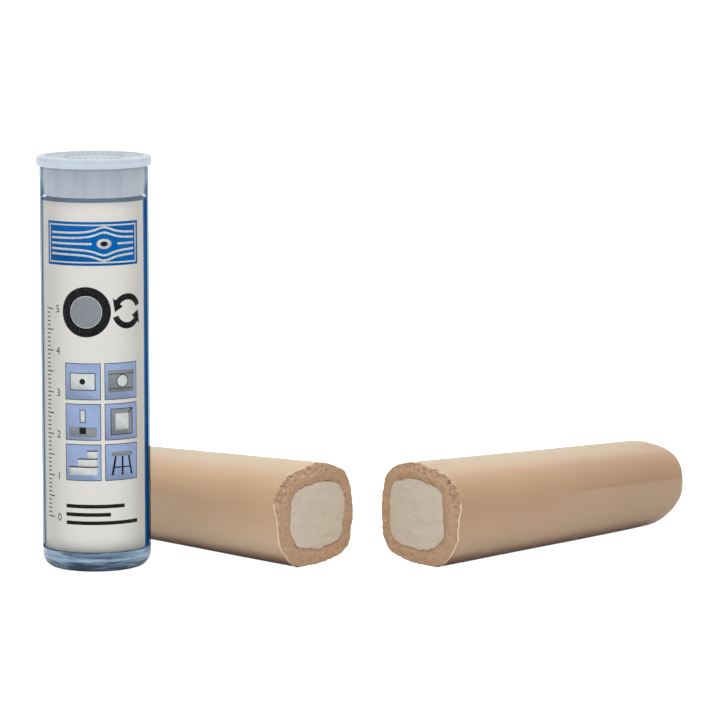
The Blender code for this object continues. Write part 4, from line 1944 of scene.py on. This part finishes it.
    def lap_share(self, rows: Rows) -> Rows:
        """Return where the film lies double on the low flank, with a clear edge only near the far end.

        Args:
            rows: Local places, one row for each ring.

        Returns:
            The share of the lap at each place.
        """
        turn = self.lap_turn()
        reach = self.lap_reach(rows)
        clear = 1 - smooth_step(-0.04, 0.01, turn)
        soft = 1 - smooth_step(-0.9, 0.0, turn)
        low = np.where(turn > -self.lap_width, 1.0, 0.0)
        return low * (reach * clear + (1 - reach) * soft)

    def core(self) -> Piece:
        """Return the hardener core with its two end faces.

        Returns:
            The core.
        """
        bar = self.bar
        wall = self.core_wall(np.linspace(0.0, bar.length - self.depth, self.core_rings), 0.0)
        share = np.linspace(0.0, 1.0, self.core_steps)[:, None, None]
        near, far = (ring.mean(axis=0) * (1 - share) + ring * share for ring in (wall[0], wall[-1]))
        if self.is_cut:
            streak = near * np.array([0.0, 0.2, 1.0])
            near[..., 0] += self.core_streak * bar.cloud(streak, self.streak_size, 10)
            near[..., 0] += self.core_recess + 0.22 * self.tear * bar.cloud(near, self.tear_size, 5, 2)
        return skinned(f"{self.title}_core", bar.world(np.concatenate([near, wall[1:-1], far[::-1]])))

    def round_noise(self, grain: float) -> Rows:
        """Return noise that runs once round the section.

        Args:
            grain: Size of the noise's features.

        Returns:
            A value for each point of a ring.
        """
        bar = self.bar
        loop = stacked(0.0, np.cos(bar.angle), np.sin(bar.angle))
        return bar.cloud(loop * bar.near[0], grain, 0)

    def gather(self, last: Rows, depth: float) -> Rows:
        """Return the rings of the film where it is gathered in pleats over an end.

        Args:
            last: The ring that the gather starts from.
            depth: Depth of the layer under the bar's skin.

        Returns:
            Local places, one row for each ring.
        """
        bar = self.bar
        share = np.linspace(0.0, 1.0, self.gather_steps + 1)[1:, None]
        wander = self.round_noise(self.wander_size)
        opening = self.film_opening * (1 + 0.25 * wander)
        side = last[:, 1] * (1 - share) + opening * np.cos(bar.angle) * share
        rise = last[:, 2] * (1 - share) + opening * np.sin(bar.angle) * share
        fold = np.cos(self.pleats * bar.angle + 2.5 * wander)
        swell = self.pleat_rise * (0.3 + 0.7 * share) * np.sin(pi * np.minimum(share * 1.6, 1.0) / 2)
        return stacked(bar.length - depth + swell * (fold + 1) * 0.5, side, rise)

    def film_skin(self, depth: float) -> Rows:
        """Return the rings of one face of the film.

        Args:
            depth: Depth of the layer under the bar's skin.

        Returns:
            Local places, one row for each ring.
        """
        bar = self.bar
        rows = bar.flank(depth)
        out = self.lap_rise * self.lap_share(rows) * self.lap_reach(rows)
        if self.is_cut:
            whole = self.whole_share()
            ragged = self.round_noise(self.ragged_size)
            edge = self.torn_back * (1 - whole) * (1 + ragged) - self.proud * whole + self.ragged * ragged
            lip = 1 - smooth_step(0.0, self.lip, rows[..., 0])
            out = out + self.flare * (0.2 + 0.8 * whole) * lip
            rows = self.pulled_back(rows, self.rim_relief() + edge)
        rows = bar.rested(bar.pushed(rows, out), depth)
        return np.concatenate([rows, self.gather(rows[-1], depth)])

    def wrap(self) -> Piece:
        """Return the film as one thin shell, with its whole cut edge as a second material.

        Returns:
            The film.
        """
        rows = np.concatenate([self.film_skin(0.0), self.film_skin(self.film)[::-1]])
        edge = np.zeros(rows.shape[:2])
        if self.is_cut:
            reach = int(np.searchsorted(self.bar.stations, self.edge_band))
            edge[:reach] = self.whole_share()
            edge[-reach:] = self.whole_share()
        piece = skinned(f"{self.title}_wrap", self.bar.world(rows), True, {"edge": edge})
        values = np.zeros(len(piece.data.vertices))
        piece.data.attributes["edge"].data.foreach_get("value", values)
        for face in piece.data.polygons:
            face.material_index = int(all(values[corner] > 0.5 for corner in face.vertices))
        return piece

    def crumbs(self, face: Rows) -> Piece:
        """Return crumbs that cling to the cut resin, most of them where the rim is torn.

        Args:
            face: Rows of the cut face, in the frame.

        Returns:
            All the crumbs as one piece.
        """
        name = f"{self.title}_crumbs"
        sizes = {"Density": self.crumb_density, "Small": self.crumb_small, "Large": self.crumb_large}
        recipe = Recipe(name, self.resin, **sizes, Seed=int(self.bar.seed))
        wires, add, entry = recipe.wires, recipe.add, recipe.entry
        likely = add("GeometryNodeInputNamedAttribute", {"Name": "crumble"}, data_type="FLOAT")
        inputs = {"Mesh": entry["Geometry"], "Density": wires.times(likely, entry["Density"])}
        spots = add("GeometryNodeDistributePointsOnFaces", inputs | {"Seed": entry["Seed"]})
        grain = add("GeometryNodeMeshIcoSphere", {"Radius": 1.0, "Subdivisions": 1})
        inputs = {2: entry["Small"], 3: entry["Large"], "Seed": 3}
        size = wires.node("FunctionNodeRandomValue", inputs, data_type="FLOAT").outputs[1]
        inputs = {0: (0.0, 0.0, 0.0), 1: (tau, tau, tau), "Seed": 5}
        turn = add("FunctionNodeRandomValue", inputs, data_type="FLOAT_VECTOR")
        inputs = {"Points": spots, "Instance": grain, "Rotation": turn, "Scale": size}
        placed = add("GeometryNodeInstanceOnPoints", inputs)
        inputs = {2: 0.2, 3: 1.0, "Seed": 7}
        tone = wires.node("FunctionNodeRandomValue", inputs, data_type="FLOAT").outputs[1]
        inputs = {"Geometry": placed, "Name": "shade", "Value": tone}
        toned = add("GeometryNodeStoreNamedAttribute", inputs, data_type="FLOAT", domain="INSTANCE")
        likely_share = self.crumb_least + self.torn_share() * smooth_step(0.4, 0.8, self.outward)
        bed = skinned(f"{self.title}_crumb_bed", face, False, {"crumble": likely_share})
        mesh = recipe.grow(name, toned, bed.data.copy())
        bpy.data.objects.remove(bed, do_unlink=True)
        layer = mesh.attributes.new("cut", "FLOAT", "POINT")
        layer.data.foreach_set("value", np.ones(len(mesh.vertices), np.float32))
        return add_mesh(name, mesh)

    def build(self) -> None:
        """Build and dress the stick's layers."""
        sheath, face = self.sheath()
        shades = self.is_cut
        dress(sheath, self.body, f"{self.title}_resin_sheath", self.resin, shades=shades)
        dress(self.core(), self.body, f"{self.title}_hardener_core", CreamHardener(), shades=shades)
        dress(self.wrap(), self.body, f"{self.title}_film_wrap", ClearFilm(), FilmEdge(), shades=shades)
        if self.is_cut:
            dress(self.crumbs(face), self.body, None, self.resin)


def cut_stick(side: Side, rest_flat: float = 0.5 * MM, end_round: float = 2.6 * MM) -> PuttyStick:
    """Read a cut piece's place and size from the frame.

    Args:
        side: Which of the two pieces.
        rest_flat: How deep its underside is flattened.
        end_round: Radius of its rounded far edge.

    Returns:
        The stick, ready to build.
    """
    title, seed, aside, rise = side.value
    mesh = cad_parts[f"{title}_film_wrap"].data
    points = np.zeros(len(mesh.vertices) * 3)
    mesh.vertices.foreach_get("co", points)
    points = points.reshape(-1, 3)
    flat = points[:, :2]
    along = np.linalg.svd(flat - flat.mean(axis=0), full_matrices=False)[2][0]
    along = along * np.sign(along[1])
    across = np.array([along[1], -along[0]])
    across = across * -np.sign(across[1])
    reach, offset = flat @ along, flat @ across
    low, high = reach.min(), reach.max()
    near = reach < low + 0.1 * MM
    last = np.abs(reach - (high - end_round)) < 0.05 * MM
    middle = (offset[near].max() + offset[near].min()) / 2
    near_half, end_half = (
        np.array([offset[ring].max() - middle, (points[ring][:, 2].max() + rest_flat) / 2])
        for ring in (near, last)
    )
    share = (high - low - end_round) / (high - low)
    bar = PuttyBar(
        origin=Vector((*(along * low + across * middle), 0.0)),
        along=Vector((*along, 0.0)),
        across=Vector((*across, 0.0)),
        upward=Vector((0.0, 0.0, 1.0)),
        length=high - low,
        near=tuple(near_half),
        far=tuple(near_half + (end_half - near_half) / share),
        end_round=end_round,
        seed=seed,
        roll=radians(-6.5),
        top_power=2.8,
        low_power=2.8,
        far_low_power=2.1,
        back_squarer=0.4,
        back_rolled=0.15,
        heel=0.06,
        recede=4.0 * MM,
        tuck=0.07,
        rest_flat=rest_flat,
    )
    core = {"core_aside": aside, "core_rise": rise, "core_squarer": 0.4, "core_wobble": 0.6 * MM}
    return PuttyStick(title, f"{title}_piece", bar, True, side.resin(), **core)


def stored_stick() -> PuttyStick:
    """Read the stored stick's place and size from the frame.

    Returns:
        The stick, ready to build.
    """
    low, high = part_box("stored_film_wrap")
    bar = PuttyBar(
        origin=Vector((0.0, 0.0, low.z)),
        along=Vector((0.0, 0.0, 1.0)),
        across=Vector((0.0, -1.0, 0.0)),
        upward=Vector((1.0, 0.0, 0.0)),
        length=high.z - low.z,
        near=(high.x, high.x),
        far=(high.x, high.x),
        end_round=1.6 * MM,
        seed=14.0,
        jag=0.0,
    )
    return PuttyStick("stored", "stored_stick", bar, False)


@dataclass
class Studio:
    """The pale table, the soft light and the camera."""

    camera_place: Size3 = (0.0634, -1.0, 0.1811)
    camera_dip: float = radians(7.487)
    lens: float = 210.4
    sensor: float = 36.0
    far_clip: float = 100.0
    floor_half: float = 12.0
    floor_level: float = -0.03 * MM
    horizon: Colour = (0.15, 0.19, 0.23, 1.0)
    dusk: Colour = (1.12, 1.05, 0.8, 1.0)
    zenith: Colour = (1.42, 1.42, 1.42, 1.0)
    high_span: Point2 = (0.2, 0.75)
    behind_span: Point2 = (0.2, 0.8)
    behind_share: float = 0.8
    before_span: Point2 = (-0.95, 0.0)
    before_share: float = 0.35
    lamp_power: float = 1.4
    lamp_size: Point2 = (0.9, 0.54)
    lamp_place: Size3 = (0.0, -0.15, 0.9)
    lamp_tilt: float = radians(-8.0)

    @staticmethod
    def stand(data: bpy.types.ID, place: Size3, tilt: float) -> Piece:
        """Stand a camera or a lamp at a place, tilted about the X axis.

        Args:
            data: The camera's or the lamp's data.
            place: Where it stands.
            tilt: Its turn about X.

        Returns:
            The new object.
        """
        made = bpy.data.objects.new(data.name, data)
        made.location = place
        made.rotation_euler = (tilt, 0.0, 0.0)
        bpy.context.scene.collection.objects.link(made)
        return made

    def camera(self) -> None:
        """Stand the camera where the set is seen from."""
        lens = bpy.data.cameras.new("camera")
        lens.lens = self.lens
        lens.sensor_width = self.sensor
        lens.clip_end = self.far_clip
        bpy.context.scene.camera = self.stand(lens, self.camera_place, pi / 2 - self.camera_dip)

    def sky(self) -> None:
        """Light the set from a pale overcast dome that is darkest low down at the sides and warm behind."""
        world = bpy.data.worlds.new("soft_dome")
        bpy.context.scene.world = world
        world.use_nodes = True
        wires = Wiring(world.node_tree)
        axes = wires.axes(wires.node("ShaderNodeTexCoord").outputs["Generated"])
        high = wires.span(axes["Z"], *self.high_span)
        behind = wires.span(axes["Y"], *self.behind_span, 0.0, self.behind_share)
        before = wires.span(axes["Y"], *self.before_span, self.before_share, 0.0)
        low = wires.tint(behind, wires.tint(before, self.horizon, self.zenith), self.dusk)
        wires.feed(world.node_tree.nodes["Background"], {"Color": wires.tint(high, low, self.zenith)})

    def lamp(self) -> None:
        """Hang one wide soft lamp over the set."""
        light = bpy.data.lights.new("soft_lamp", "AREA")
        light.shape = "RECTANGLE"
        light.size, light.size_y = self.lamp_size
        light.energy = self.lamp_power
        self.stand(light, self.lamp_place, self.lamp_tilt)

    def floor(self) -> None:
        """Lay the pale table."""
        half = self.floor_half
        corners = [(-half, -half), (half, -half), (half, half), (-half, half)]
        mesh = bpy.data.meshes.new("pale_floor")
        mesh.from_pydata([(x, y, self.floor_level) for x, y in corners], [], [(0, 1, 2, 3)])
        table = add_mesh("pale_floor", mesh)
        mesh.materials.append(PaleFloor().material())

    def build(self) -> None:
        """Set up the table, the light, the camera and plain colours."""
        self.camera()
        self.sky()
        self.lamp()
        self.floor()
        bpy.context.scene.view_settings.view_transform = "Standard"


def main() -> None:
    """Build and dress every sub-assembly."""
    logging.basicConfig(level=logging.INFO, format="%(message)s")
    Studio().build()
    ClearTube().build()
    PlugCap().build()
    RolledLabel().build()
    stored_stick().build()
    for side in Side:
        cut_stick(side).build()


if __name__ == "__main__":
    main()
